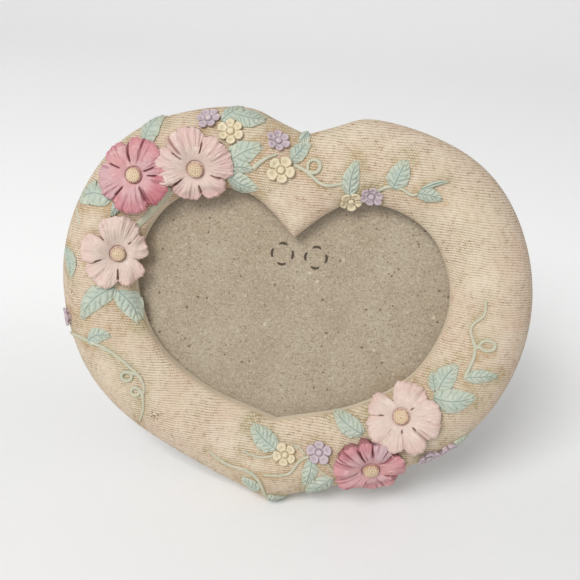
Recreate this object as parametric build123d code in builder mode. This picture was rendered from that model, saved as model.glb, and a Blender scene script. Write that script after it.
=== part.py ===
"""Heart shaped photo frame: a domed cast ring with applied flowers, on an easel leg."""

import os
from math import cos, hypot, radians, sin, sqrt

from build123d import *

# Stance: the frame leans back on its leg
lean = 20.0
legSpread = 33.0

# Opening of the heart, measured from the middle between its widest points
openingHalfWidth = 59.0
openingLobeTop = 35.0
openingNotch = 19.5
openingShoulder = 31.8
openingBelly = 41.7
openingLowShoulder = 46.6
openingTip = 50.6

# Outer edge of the heart, from the same middle
outerHalfWidth = 88.6
outerLobeTop = 64.5
outerNotch = 57.0
outerShoulder = 62.3
outerBelly = 73.3
outerLowShoulder = 78.6
outerTip = 84.0

# Each lobe's own middle, which the stations round the ring fan out from
lobeCentre = 28.0
fanAngles = (90, 60, 30, 0, -30, -60, -90)
openingPullShares = {-30: 0.952, -60: 0.916}
outerPullShares = {-30: 0.988, -60: 0.948}

# Section of the ring, heights above the flat back
lipHeight = 9.0
crownHeight = 16.0
edgeHeight = 5.0
footCut = 1.3
valleyDepth = 1.6
innerFlankShare = (0.20, 0.70)
crownShare = 0.50
outerFlankShare = (0.82, 0.74)
springShare = 0.40

# Rebate at the back, and what lies in it
lipOverlap = 5.0
notchSpread = 1.7
shoulderSpread = 1.1
tipSpread = 1.05
rebateGap = 0.5
rebateSlack = 0.2
glassThickness = 2.0
boardThickness = 3.2

# Stamped hinge of the easel
hingeOffset = 2.0
prongLine = 12.6
prongSpacing = 12.7
prongRingRadius = 4.3
prongThickness = 0.7
prongGap = 3.4
prongCount = 4
prongBite = 2.4
slitClearance = 0.1
plateWidth = 25.0
plateHeight = 12.6
plateThickness = 0.6
plateCorner = 1.5
pinRadius = 0.9
pinHead = 0.5
pinHeadRadius = 1.4
knuckleWall = 0.6
knuckleRun = 0.05
knuckleGap = 0.3
knuckleLength = 5.0
knuckleDrop = 9.0
barrelLength = 20.0
leafDrop = 11.0

# Easel leg
legThickness = 2.6
legTopWidth = 25.0
legFootWidth = 23.0
legWaistWidth = 31.0
legWaistShare = 0.66
legCorner = 4.0

# Turn buttons
buttonReach = 11.0
buttonHalfWidth = 4.2
buttonTipRadius = 2.6
buttonThickness = 0.9
buttonSetback = 7.0
buttonLift = 0.1
screwRadius = 1.3
screwRun = 0.06
screwHeadRadius = 2.7
screwHeadHeight = 1.4
screwHeadTaper = 20
screwDepth = 6.0
screwSlotWidth = 0.7
screwSlotDepth = 0.6
buttonStations = {"upper": 3, "lower": 6}

# Applied ornaments
flowerRadius = 12.0
petalThickness = 0.9
petalRise = 2.4
hubShare = 0.35
crestShare = 0.66
dipShare = 0.95
flankShare = 0.84
flankTurnShare = 0.45
crestTurnShare = 0.25
slitShare = 0.50
bossShare = 0.50
seatLift = 0.6
hubRadius = 3.3
seatDepth = 3.5
centreRadius = 2.7
centreRise = 2.3
centreRim = 1.5
smallFlowerRadius = 4.6
smallFlowerScale = 0.55
smallHubRadius = 1.2
leafLength = 10.5
glueSeam = 0.1
leafSkin = 1.5
stemSkin = 1.0
stemWidth = 1.2
curlRadius = 2.6
leastChunkShare = 0.1
overrun = 2.0

# Large flowers: side, place along and across the ring, radius, petals, first petal's angle
flowerShares = {
    "flower_rose_upper": (-1, 0.337, 0.56, 1.00, 5, 80),
    "flower_pink_upper": (-1, 0.244, 0.33, 1.06, 5, 95),
    "flower_pink_left": (-1, 0.465, 0.28, 0.98, 6, 90),
    "flower_pink_lower": (1, 0.715, 0.36, 1.10, 5, 65),
    "flower_rose_lower": (1, 0.768, 0.82, 1.04, 7, 75),
}

# Small flowers: side, along, across, petals, first petal's angle
smallFlowerShares = {
    "small_flower_1": (-1, 0.222, 0.87, 5, 90),
    "small_flower_2": (-1, 0.183, 0.71, 6, 60),
    "small_flower_3": (-1, 0.062, 0.80, 5, 100),
    "small_flower_4": (-1, 0.046, 0.52, 6, 90),
    "small_flower_5": (1, 0.136, 0.14, 5, 60),
    "small_flower_6": (1, 0.190, 0.16, 5, 90),
    "small_flower_7": (1, 0.959, 0.37, 6, 80),
    "small_flower_8": (1, 0.869, 0.42, 5, 90),
    "small_flower_9": (1, 0.706, 0.90, 5, 90),
    "small_flower_10": (1, 0.672, 0.86, 5, 60),
    "small_flower_11": (-1, 0.568, 0.90, 5, 30),
}

# Leaves of each sprig: side, along, across, length as a share of leafLength, heading
sprigShares = {
    "leaves_upper_left": ((-1, 0.292, 0.86, 0.85, 60),),
    "leaves_upper_middle": ((-1, 0.142, 0.50, 1.10, 60), (-1, 0.150, 0.24, 1.10, -40)),
    "leaves_top": ((-1, 0.174, 0.90, 0.75, 10),),
    "leaves_notch": ((-1, 0.006, 0.83, 0.85, 55),),
    "leaves_left": ((-1, 0.409, 0.66, 0.90, 150), (-1, 0.495, 0.82, 0.70, 95)),
    "leaves_below_left": ((-1, 0.556, 0.45, 1.05, 235), (-1, 0.562, 0.16, 0.95, 300)),
    "leaves_vine_left": ((-1, 0.606, 0.60, 0.60, 30),),
    "leaves_vine_upper": ((1, 0.154, 0.34, 0.80, 100), (1, 0.238, 0.49, 0.85, 80),
                          (1, 0.285, 0.38, 0.80, 5)),
    "leaves_right": ((1, 0.625, 0.45, 1.45, 200), (1, 0.576, 0.66, 0.95, 10)),
    "leaves_lower_middle": ((1, 0.800, 0.24, 1.00, 150), (-1, 0.983, 0.22, 0.95, 120)),
    "leaves_bottom": ((1, 0.900, 0.62, 0.95, 260), (1, 0.862, 0.85, 0.75, 200)),
    "leaves_tip": ((-1, 0.950, 0.80, 1.00, 335),),
}
leafWidthShare = 0.56
lobeShares = ((0.16, 0.62), (0.40, 1.00), (0.66, 0.78))
notchShare = 0.80

# Stems: points by side, along and across, and loops by place and radius share
stemShares = {
    "tendril_upper": ((-1, 0.018, 0.69), (1, 0.054, 0.43), (1, 0.100, 0.31), (1, 0.150, 0.27),
                      (1, 0.219, 0.25), (1, 0.262, 0.32)),
    "tendril_right": ((1, 0.594, 0.44), (1, 0.551, 0.43), (1, 0.525, 0.32), (1, 0.498, 0.42),
                      (1, 0.472, 0.44)),
    "tendril_left": ((-1, 0.588, 0.88), (-1, 0.622, 0.57), (-1, 0.672, 0.44),
                     (-1, 0.703, 0.45), (-1, 0.724, 0.80)),
    "tendril_bottom": ((-1, 0.840, 0.66), (-1, 0.925, 0.67), (-1, 0.962, 0.86)),
    "tendril_spray": ((-1, 0.930, 0.48), (-1, 0.975, 0.52), (1, 0.963, 0.56),
                      (1, 0.924, 0.52), (1, 0.900, 0.47)),
}
curlShares = {
    "tendril_upper": (1, 0.044, 0.58, 1.0),
    "tendril_right": (1, 0.552, 0.58, 0.9),
    "tendril_left": (-1, 0.663, 0.36, 0.9),
}

os.makedirs("parts", exist_ok=True)


# Directions and heights that follow from the sizes
faceNormal = Vector(0, -cos(radians(lean)), sin(radians(lean)))
upFrame = Vector(0, sin(radians(lean)), cos(radians(lean)))
middle = upFrame * outerTip - Vector(0, 0, footCut)
rebateDepth = glassThickness + boardThickness + rebateSlack
boardRear = rebateSlack
knuckleRadius = pinRadius + knuckleRun + knuckleWall
hingeLine = prongLine - knuckleDrop
hingeHeight = boardRear - knuckleRadius


def framePlane(height):
    """Plane parallel to the flat back, a given height in front of it, with y up the frame."""
    return Plane(origin=middle + faceNormal * height, x_dir=(1, 0, 0), z_dir=faceNormal)


def legPlane(height):
    """Plane parallel to the opened leg, through the hinge axis when the height is zero."""
    tilt = radians(lean - legSpread)
    normal = Vector(0, -cos(tilt), sin(tilt))
    axis = framePlane(hingeHeight).from_local_coords(Vector(hingeOffset, hingeLine, 0))
    return Plane(origin=axis + normal * height, x_dir=(1, 0, 0), z_dir=normal)


def write(part, label):
    """Name a finished piece and write it."""
    part.label = label
    export_step(part, f"parts/{label}.step")
    print(label, round(part.volume, 1), len(part.solids()), part.is_valid)


def heartPoints(halfWidth, lobeTop, notch, shoulder, belly, lowShoulder, tip, pullShares):
    """Points down the right half of a heart, from its notch round the lobe to its tip."""
    points = [(0, notch), (lobeCentre / 2, shoulder)]
    for angle in fanAngles:
        height = lobeTop if angle >= 0 else belly
        across = cos(radians(angle)) / (halfWidth - lobeCentre)
        upward = sin(radians(angle)) / height
        reach = pullShares.get(angle, 1) / hypot(across, upward)
        points.append((lobeCentre + reach * cos(radians(angle)), reach * sin(radians(angle))))
    return points + [(lobeCentre / 2, -lowShoulder), (0, -tip)]


openingPoints = heartPoints(
    openingHalfWidth, openingLobeTop, openingNotch, openingShoulder,
    openingBelly, openingLowShoulder, openingTip, openingPullShares,
)
outerPoints = heartPoints(
    outerHalfWidth, outerLobeTop, outerNotch, outerShoulder,
    outerBelly, outerLowShoulder, outerTip, outerPullShares,
)
stationCount = len(openingPoints)


def ringPoint(side, along, across):
    """Place on the ring in the frame's plane: along from notch to tip, across from the opening."""
    station = along * (stationCount - 1)
    index = min(int(station), stationCount - 2)
    blend = station - index
    inner = [a + (b - a) * blend for a, b in zip(openingPoints[index], openingPoints[index + 1])]
    outer = [a + (b - a) * blend for a, b in zip(outerPoints[index], outerPoints[index + 1])]
    return (
        side * (inner[0] + (outer[0] - inner[0]) * across),
        inner[1] + (outer[1] - inner[1]) * across,
    )


def ringSection(index, skin):
    """Section of the domed ring at one station, thickened by a skin."""
    backPlane = framePlane(0)
    start = backPlane.from_local_coords(Vector(*openingPoints[index], 0))
    end = backPlane.from_local_coords(Vector(*outerPoints[index], 0))
    width = (end - start).length
    crown = crownHeight + skin - (valleyDepth if index == 0 else 0)
    across = (end - start).normalized()
    with BuildSketch(Plane(start, x_dir=across, z_dir=across.cross(faceNormal))) as section:
        with BuildLine():
            face = Spline(
                (-skin, lipHeight),
                (width * innerFlankShare[0], lipHeight + (crown - lipHeight) * innerFlankShare[1]),
                (width * crownShare, crown),
                (width * outerFlankShare[0], edgeHeight + (crown - edgeHeight) * outerFlankShare[1]),
                (width + skin, edgeHeight),
                tangents=((springShare, 1), (0, -1)),
            )
            Polyline(face @ 1, (width + skin, -overrun), (-skin, -overrun), face @ 0)
        make_face()
    return section.sketch


def heartFace(grow, height):
    """The opening's heart, both halves, grown outward by a margin square to its edge."""
    points = heartPoints(
        openingHalfWidth + grow,
        openingLobeTop + grow,
        openingNotch + grow * notchSpread,
        openingShoulder + grow * shoulderSpread,
        openingBelly + grow * tipSpread,
        openingLowShoulder + grow * tipSpread,
        openingTip + grow * tipSpread,
        openingPullShares,
    )
    with BuildSketch(framePlane(height)) as heart:
        with BuildLine():
            Spline(*points)
            mirror(about=Plane.YZ)
        make_face()
    return heart.sketch


# Heart body: the domed ring with its rebate, pilot holes and foot
def fullRing(skin):
    """Both halves of the domed ring, thickened by a skin, down to the flat back."""
    with BuildPart() as ring:
        loft([ringSection(index, skin) for index in range(stationCount)])
        split(bisect_by=framePlane(0), keep=Keep.TOP)
        mirror(about=Plane.YZ)
    return ring.part


def buttonPlane(side, station, height):
    """Plane behind the ring at a turn button's screw, with x pointing into the opening."""
    inner = Vector(*openingPoints[station], 0)
    outward = (Vector(*outerPoints[station], 0) - inner).normalized()
    spot = inner + outward * (lipOverlap + buttonSetback)
    back = framePlane(height)
    origin = back.from_local_coords(Vector(side * spot.X, spot.Y, 0))
    tip = back.from_local_coords(Vector(side * inner.X, inner.Y, 0))
    return Plane(origin=origin, x_dir=tip - origin, z_dir=-faceNormal)


buttonSpots = {
    f"{level}_{name}": (side, station)
    for level, station in buttonStations.items()
    for name, side in (("left", -1), ("right", 1))
}

with BuildPart() as heartBody:
    add(fullRing(0))
    extrude(heartFace(lipOverlap, rebateDepth), amount=-rebateDepth - overrun, mode=Mode.SUBTRACT)
    split(bisect_by=Plane.XY, keep=Keep.TOP)
    for side, station in buttonSpots.values():
        with BuildSketch(buttonPlane(side, station, 0)):
            Circle(screwRadius + screwRun)
        extrude(amount=-screwDepth - screwRun, mode=Mode.SUBTRACT)
write(heartBody.part, "heart_body")

# Glass pane and back board, lying in the rebate
with BuildPart() as glassPane:
    extrude(heartFace(lipOverlap - rebateGap, rebateDepth - glassThickness), amount=glassThickness)
write(glassPane.part, "glass_pane")


def prongSketch(plane, margin):
    """Curved section of the prongs: two rings of four, grown by a margin."""
    with BuildSketch(plane) as prongs:
        with Locations((-prongSpacing / 2, 0), (prongSpacing / 2, 0)):
            Circle(prongRingRadius + margin)
            Circle(prongRingRadius - prongThickness - margin, mode=Mode.SUBTRACT)
            with PolarLocations(0, prongCount, start_angle=180 / prongCount):
                with Locations((prongRingRadius, 0)):
                    Rectangle(prongRingRadius, prongGap - 2 * margin, mode=Mode.SUBTRACT)
    return prongs.sketch


def shifted(plane, x, y):
    """The same plane with its origin moved within itself."""
    return Plane(plane.from_local_coords(Vector(x, y, 0)), x_dir=plane.x_dir, z_dir=plane.z_dir)


plateSpot = (hingeOffset, prongLine)
with BuildPart() as backBoard:
    extrude(heartFace(lipOverlap - rebateGap, boardRear), amount=boardThickness)
    slits = prongSketch(shifted(framePlane(boardRear), *plateSpot), slitClearance)
    extrude(slits, amount=boardThickness, mode=Mode.SUBTRACT)
write(backBoard.part, "back_board")


# Stamped hinge: plate clinched through the board, leaf clinched through the leg, and their pin
def knuckle(plane, centre, length, strapReach, strapHeight):
    """Rolled knuckle round the hinge axis, with the strap that runs from it to its plate."""
    with BuildPart() as roll:
        with BuildSketch(Plane.YZ.offset(centre - length / 2)):
            Circle(knuckleRadius)
        extrude(amount=length)
        with BuildSketch(Plane.XY.offset(strapHeight)):
            with Locations((centre, strapReach / 2)):
                Rectangle(length, abs(strapReach))
        extrude(amount=plateThickness)
        with BuildSketch(Plane.YZ.offset(centre - length / 2 - overrun)):
            Circle(pinRadius + knuckleRun)
        extrude(amount=length + 2 * overrun, mode=Mode.SUBTRACT)
    return plane.from_local_coords(roll.part)


def clinchPlate(plane, drop, biteWay):
    """Flat plate with two round punched holes whose metal is turned out as curved prongs."""
    spot = shifted(plane, 0, drop)
    with BuildPart() as plate:
        with BuildSketch(spot):
            RectangleRounded(plateWidth, plateHeight, plateCorner)
            with Locations((-prongSpacing / 2, 0), (prongSpacing / 2, 0)):
                Circle(prongRingRadius - prongThickness, mode=Mode.SUBTRACT)
        extrude(amount=-plateThickness * biteWay)
        extrude(prongSketch(spot, 0), amount=prongBite * biteWay)
    return plate.part


axisPlane = shifted(framePlane(hingeHeight), hingeOffset, hingeLine)
sideCentre = (barrelLength - knuckleLength) / 2
middleLength = barrelLength - 2 * knuckleLength - 2 * knuckleGap
strapFront = knuckleRadius - plateThickness
with BuildPart() as hingePlate:
    add(clinchPlate(shifted(framePlane(boardRear), hingeOffset, hingeLine), knuckleDrop, 1))
    for centre in (-sideCentre, sideCentre):
        add(knuckle(axisPlane, centre, knuckleLength, knuckleDrop - plateHeight / 2, strapFront))
write(hingePlate.part, "hinge_plate")

with BuildPart() as hingeLeaf:
    add(clinchPlate(legPlane(-knuckleRadius), -leafDrop, -1))
    add(knuckle(legPlane(0), 0, middleLength, plateHeight / 2 - leafDrop, -knuckleRadius))
write(hingeLeaf.part, "hinge_leaf")

with BuildPart() as hingePin:
    pinStart = shifted(axisPlane, 0, 0)
    across = Plane(pinStart.origin, x_dir=upFrame, z_dir=(1, 0, 0))
    with BuildSketch(across.offset(-barrelLength / 2 - knuckleGap)):
        Circle(pinRadius)
    extrude(amount=barrelLength + 2 * knuckleGap)
    for start in (-barrelLength / 2 - knuckleGap - pinHead, barrelLength / 2 + knuckleGap):
        with BuildSketch(across.offset(start)):
            Circle(pinHeadRadius)
        extrude(amount=pinHead)
write(hingePin.part, "hinge_pin")

# Easel leg: a tapered board whose foot is cut level with the floor
legTop = knuckleRadius * 2
legReach = legPlane(0).origin.Z / cos(radians(legSpread - lean)) + overrun
legWaist = legTop + (legReach - legTop) * legWaistShare
with BuildPart() as easelLeg:
    with BuildSketch(legPlane(-knuckleRadius)):
        with BuildLine():
            Polyline(
                (0, -legTop),
                (legTopWidth / 2, -legTop),
                (legWaistWidth / 2, -legWaist),
                (legFootWidth / 2, -legReach),
                (0, -legReach),
            )
            mirror(about=Plane.YZ)
        make_face()
    extrude(amount=-legThickness)
    rims = easelLeg.edges().filter_by(Axis(legPlane(0).origin, legPlane(0).z_dir))
    fillet(rims.group_by(Axis.Z)[-1], radius=legCorner)
    extrude(
        prongSketch(shifted(legPlane(-knuckleRadius), 0, -leafDrop), slitClearance),
        amount=-prongBite - slitClearance,
        mode=Mode.SUBTRACT,
    )
    split(bisect_by=Plane.XY, keep=Keep.TOP)
write(easelLeg.part, "easel_leg")

# Turn buttons and their screws
for name, (side, station) in buttonSpots.items():
    plane = buttonPlane(side, station, -buttonLift)
    with BuildPart() as button:
        with BuildSketch(plane):
            Circle(buttonHalfWidth)
            with Locations((buttonReach - buttonTipRadius, 0)):
                Circle(buttonTipRadius)
            make_hull()
            Circle(screwRadius + screwRun, mode=Mode.SUBTRACT)
        extrude(amount=buttonThickness)
    write(button.part, f"turn_button_{name}")

with BuildPart() as screws:
    for side, station in buttonSpots.values():
        seat = buttonPlane(side, station, -2 * buttonLift - buttonThickness)
        with BuildSketch(seat):
            Circle(screwHeadRadius)
        extrude(amount=screwHeadHeight, taper=screwHeadTaper)
        with BuildSketch(seat.offset(screwHeadHeight - screwSlotDepth)):
            Rectangle(screwHeadRadius * 2, screwSlotWidth)
        extrude(amount=screwSlotDepth, mode=Mode.SUBTRACT)
        with BuildSketch(seat):
            Circle(screwRadius)
        extrude(amount=-screwDepth)
write(screws.part, "button_screws")


# Applied ornaments, each seated on the domed face and cut clear of those laid before it
seamRing = fullRing(glueSeam)
leafLayer = fullRing(leafSkin) - seamRing
stemLayer = fullRing(stemSkin) - seamRing
laid = []


def clearOf(part, others):
    """The part without what it shares with the others, and without loose crumbs."""
    box = part.bounding_box()
    for other in others:
        if box.overlaps(other.bounding_box()):
            part = part - other
    chunks = part.solids()
    largest = max(chunk.volume for chunk in chunks)
    kept = [chunk for chunk in chunks if chunk.volume > largest * leastChunkShare]
    return kept[0] if len(kept) == 1 else Compound(children=kept)


def surfacePlane(side, along, across):
    """Plane that touches the glued seam over the domed face at a place on the ring."""
    place = ringPoint(side, along, across)
    foot = framePlane(0).from_local_coords(Vector(*place, 0))
    hits = [
        hit
        for face in seamRing.faces()
        for hit in face.find_intersection_points(Axis(foot, faceNormal))
    ]
    point, normal = max(hits, key=lambda hit: (hit[0] - foot).dot(faceNormal))
    if normal.dot(faceNormal) < 0:
        normal = -normal
    return Plane(origin=point, x_dir=(1, 0, 0), z_dir=normal)


def ray(radius, angle):
    """Point of a plane at a radius and an angle in degrees."""
    return (radius * cos(radians(angle)), radius * sin(radians(angle)))


def petalOutline(radius, petals, start):
    """Closed outline of a flower whose petals have a dip in the edge and a slit between."""
    step = 360 / petals
    with BuildSketch() as outline:
        with BuildLine():
            for index in range(petals):
                aim = start + index * step
                dip = ray(radius * dipShare, aim)
                flanks = [ray(radius * flankShare, aim + way * step * flankTurnShare) for way in (-1, 1)]
                notches = [ray(radius * slitShare, aim + way * step / 2) for way in (-1, 1)]
                Line(notches[0], flanks[0])
                ThreePointArc(flanks[0], ray(radius, aim - step * crestTurnShare), dip)
                ThreePointArc(dip, ray(radius, aim + step * crestTurnShare), flanks[1])
                Line(flanks[1], notches[1])
        make_face()
    return outline.sketch


def flower(plane, radius, petals, start, rise, hub):
    """Dish of petals round a sunk hub, on a boss that meets the domed face."""
    with BuildPart() as boss:
        with BuildSketch(plane.offset(-seatDepth)):
            Circle(radius * bossShare)
        extrude(amount=seatDepth + seatLift)
        add(seamRing, mode=Mode.SUBTRACT)
    with BuildPart() as bloom:
        with BuildSketch(Plane.XZ):
            with BuildLine():
                top = ThreePointArc(
                    (hub, seatLift + rise * hubShare),
                    (radius * crestShare, seatLift + rise),
                    (radius + overrun, seatLift + petalThickness),
                )
                Polyline(
                    top @ 1,
                    (radius + overrun, seatLift),
                    (0, seatLift),
                    (0, seatLift + rise * hubShare),
                    top @ 0,
                )
            make_face()
        revolve(axis=Axis.Z)
        extrude(petalOutline(radius, petals, start), amount=2 * rise, mode=Mode.INTERSECT)
    return plane.from_local_coords(bloom.part) + boss.part


def flowerCentre(plane, rise):
    """Domed centre with a rim, standing on the hub."""
    with BuildPart() as dome:
        with BuildSketch(Plane.XZ):
            with BuildLine():
                base = seatLift + rise * hubShare
                crown = centreRise - centreRim
                domeRadius = (centreRadius ** 2 + crown ** 2) / (2 * crown)
                halfDrop = domeRadius - sqrt(domeRadius ** 2 - centreRadius ** 2 / 4)
                ThreePointArc(
                    (centreRadius, base + centreRim),
                    (centreRadius / 2, base + centreRise - halfDrop),
                    (0, base + centreRise),
                )
                Polyline(
                    (0, base + centreRise),
                    (0, base),
                    (centreRadius, base),
                    (centreRadius, base + centreRim),
                )
            make_face()
        revolve(axis=Axis.Z)
    return plane.from_local_coords(dome.part)


for label, (side, along, across, size, petals, start) in flowerShares.items():
    plane = surfacePlane(side, along, across)
    bloom = flower(plane, flowerRadius * size, petals, start, petalRise, hubRadius)
    bloom = clearOf(bloom, laid)
    laid.append(bloom)
    write(bloom, label)
    write(flowerCentre(plane, petalRise), label.replace("flower", "centre"))

for label, (side, along, across, petals, start) in smallFlowerShares.items():
    plane = surfacePlane(side, along, across)
    rise = petalRise * smallFlowerScale
    bloom = flower(plane, smallFlowerRadius, petals, start, rise, smallHubRadius)
    bloom = clearOf(bloom, laid)
    laid.append(bloom)
    write(bloom, label)


def leafOutline(side, along, across, lengthShare, heading):
    """Lobed, pointed outline of a leaf in the frame's plane, about its middle."""
    length = leafLength * lengthShare
    halfWidth = length * leafWidthShare / 2
    with BuildLine() as edge:
        start = (-length / 2, 0)
        for lobe, following in zip(lobeShares, (*lobeShares[1:], None)):
            end = (length / 2, 0)
            if following:
                middleShare = (lobe[0] + following[0]) / 2
                dent = min(lobe[1], following[1] * notchShare)
                end = (length * middleShare - length / 2, halfWidth * dent)
            ThreePointArc(start, (length * lobe[0] - length / 2, halfWidth * lobe[1]), end)
            start = end
        mirror(about=Plane.XZ)
    with BuildSketch() as outline:
        add(edge.line)
        make_face()
    return outline.sketch.moved(Location((*ringPoint(side, along, across), 0), heading))


def raised(outline, layer):
    """What stands on the domed face inside an outline, as thick as a layer over it."""
    with BuildPart() as relief:
        extrude(framePlane(0).from_local_coords(outline), amount=crownHeight + overrun)
        add(layer, mode=Mode.INTERSECT)
    return clearOf(relief.part, laid)


for label, leaves in sprigShares.items():
    pieces = []
    for leaf in leaves:
        piece = raised(leafOutline(*leaf), leafLayer)
        laid.append(piece)
        pieces.append(piece)
    write(pieces[0] if len(pieces) == 1 else Compound(children=pieces), label)

for label, places in stemShares.items():
    with BuildSketch() as outline:
        with BuildLine() as route:
            Spline(*[ringPoint(*place) for place in places])
        trace(line_width=stemWidth)
        if label in curlShares:
            side, along, across, size = curlShares[label]
            with Locations(ringPoint(side, along, across)):
                Circle(curlRadius * size)
                Circle(curlRadius * size - stemWidth, mode=Mode.SUBTRACT)
    write(raised(outline.sketch, stemLayer), label)
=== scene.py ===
from math import cos, pi, radians, sin

import bpy
import numpy as np
from mathutils import Matrix, Vector


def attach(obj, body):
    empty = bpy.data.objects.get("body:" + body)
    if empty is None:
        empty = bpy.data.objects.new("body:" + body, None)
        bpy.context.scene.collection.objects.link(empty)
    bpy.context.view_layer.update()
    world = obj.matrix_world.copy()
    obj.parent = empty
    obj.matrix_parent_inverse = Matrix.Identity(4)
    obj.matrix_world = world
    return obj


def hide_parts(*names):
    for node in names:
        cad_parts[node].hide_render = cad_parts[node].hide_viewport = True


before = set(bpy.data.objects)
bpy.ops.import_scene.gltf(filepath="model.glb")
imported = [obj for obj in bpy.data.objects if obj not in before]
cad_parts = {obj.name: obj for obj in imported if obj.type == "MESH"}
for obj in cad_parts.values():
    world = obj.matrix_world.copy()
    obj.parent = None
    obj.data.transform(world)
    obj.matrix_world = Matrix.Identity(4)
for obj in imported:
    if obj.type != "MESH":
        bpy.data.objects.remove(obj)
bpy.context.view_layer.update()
print("frame loaded")

mm = 0.001

# The frame leans back on its leg; its plane's middle lies over the foot under the tip
stance = {"lean": 20.0, "tipHeight": 84.0, "footCut": 1.3}
leanAngle = radians(stance["lean"])
rightWay = np.array([1.0, 0.0, 0.0])
upWay = np.array([0.0, sin(leanAngle), cos(leanAngle)])
faceWay = np.array([0.0, -cos(leanAngle), sin(leanAngle)])
middle = upWay * stance["tipHeight"] - np.array([0.0, 0.0, stance["footCut"]])


# World place in metres: the middle, plus u to the right, v up the frame and w out of its face, in mm
def worldPlace(spots):
    moved = middle + spots[..., :1] * rightWay + spots[..., 1:2] * upWay + spots[..., 2:3] * faceWay
    return moved * mm


# Smooth step from 0 at low to 1 at high: 3x^2 - 2x^3 of the clipped share
def smoothStep(value, low, high):
    share = np.clip((value - low) / (high - low), 0.0, 1.0)
    return share * share * (3 - 2 * share)


# Bell curve of height 1: e to the minus square of value over width
def bell(value, width):
    return np.exp(-((value / width) ** 2))


# Cubic curve through points at rising knots, its second slopes from the usual three-term rows;
# without end slopes the ends run straight
def curveThrough(knots, points, at, ends=None):
    knots, points = np.asarray(knots, float), np.asarray(points, float)
    count, gaps = len(knots), np.diff(knots)
    steps = np.diff(points, axis=0) / gaps.reshape(-1, *[1] * (points.ndim - 1))
    rows, sides = np.eye(count), np.zeros_like(points)
    inner = np.arange(1, count - 1)
    rows[inner, inner - 1], rows[inner, inner] = gaps[:-1], 2 * (gaps[:-1] + gaps[1:])
    rows[inner, inner + 1] = gaps[1:]
    sides[1:-1] = 6 * np.diff(steps, axis=0)
    if ends is not None:
        rows[0, :2], rows[-1, -2:] = (2 * gaps[0], gaps[0]), (gaps[-1], 2 * gaps[-1])
        sides[0], sides[-1] = 6 * (steps[0] - ends[0]), 6 * (ends[1] - steps[-1])
    bends = np.linalg.solve(rows, sides.reshape(count, -1)).reshape(points.shape)
    index = np.clip(np.searchsorted(knots, at, side="right") - 1, 0, count - 2)
    shape = (-1, *[1] * (points.ndim - 1))
    gap = gaps[index].reshape(shape)
    share = ((at - knots[index]) / gaps[index]).reshape(shape)
    rest = 1 - share
    bend = (rest ** 3 - rest) * bends[index] + (share ** 3 - share) * bends[index + 1]
    return rest * points[index] + share * points[index + 1] + gap ** 2 / 6 * bend


# Smooth from 0 at the first limit to 1 at the second, and back to 0 from the third to the fourth
def window(value, first, second, third, fourth):
    return smoothStep(value, first, second) * (1 - smoothStep(value, third, fourth))


# Angles all the way round in a row, and shares of the radius from the inmost to 1 in a column
def polarGrid(around, out, inmost):
    return np.linspace(0, 2 * pi, around, endpoint=False)[None, :], np.linspace(inmost, 1.0, out)[:, None]


# Object of some data, in the scene
def addObject(name, data):
    made = bpy.data.objects.new(name, data)
    bpy.context.scene.collection.objects.link(made)
    return made


# Faces shaded smooth, but for the edges over an angle in degrees where one is given
def shadeSmooth(mesh, sharpAngle=None):
    mesh.polygons.foreach_set("use_smooth", np.ones(len(mesh.polygons), bool))
    if sharpAngle:
        mesh.set_sharp_from_angle(angle=radians(sharpAngle))


# Shell over closed rings of points, one ring per row: quads join each ring to the next, and fans
# of triangles meet the middle of the first and last ring unless these join; turned to face outwards
def shellMesh(rings, joined=False, marks=None):
    count, around = rings.shape[:2]
    index = np.arange(count * around).reshape(count, around)
    beside = np.roll(index, -1, axis=1)
    above, aboveBeside = np.roll(index, -1, axis=0), np.roll(beside, -1, axis=0)
    last = count if joined else count - 1
    quads = np.stack([index, beside, aboveBeside, above], axis=-1)[:last].reshape(-1, 4)
    spots, fans = rings.reshape(-1, 3), np.zeros((0, 3), int)
    if not joined:
        spots = np.vstack([spots, rings[0].mean(axis=0), rings[-1].mean(axis=0)])
        low, high = np.full(around, count * around), np.full(around, count * around + 1)
        fans = np.vstack([
            np.stack([beside[0], index[0], low], axis=-1),
            np.stack([index[-1], beside[-1], high], axis=-1),
        ])
    triangles = np.vstack([quads[:, [0, 1, 2]], quads[:, [0, 2, 3]], fans])
    corners = spots[triangles] - spots.mean(axis=0)
    volume = np.einsum("ij,ij->i", corners[:, 0], np.cross(corners[:, 1], corners[:, 2])).sum()
    if volume < 0:
        quads, fans = quads[:, ::-1], fans[:, ::-1]
    values = {}
    for mark, shares in (marks or {}).items():
        flat = shares.reshape(-1)
        values[mark] = flat if joined else np.append(flat, [shares[0].mean(), shares[-1].mean()])
    return {"spots": spots, "quads": quads, "fans": fans, "marks": values}


# One object from one or more shells, which keep their marks as float attributes
def makePiece(name, shells, material, sharpAngle=None):
    starts = np.cumsum([0] + [len(shell["spots"]) for shell in shells])
    faces = []
    for shell, start in zip(shells, starts):
        faces += (shell["quads"] + start).tolist() + (shell["fans"] + start).tolist()
    spots = worldPlace(np.vstack([shell["spots"] for shell in shells]))
    spots[:, 2] = np.maximum(spots[:, 2], 0.0)  # the foot under the tip is flat on the floor
    mesh = bpy.data.meshes.new(name)
    mesh.from_pydata(spots.tolist(), [], faces)
    for mark in shells[0]["marks"]:
        values = np.concatenate([shell["marks"][mark] for shell in shells]).astype(np.float32)
        mesh.attributes.new(mark, "FLOAT", "POINT").data.foreach_set("value", values)
    shadeSmooth(mesh, sharpAngle)
    mesh.materials.append(material)
    mesh.update()
    return addObject(name, mesh)


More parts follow.
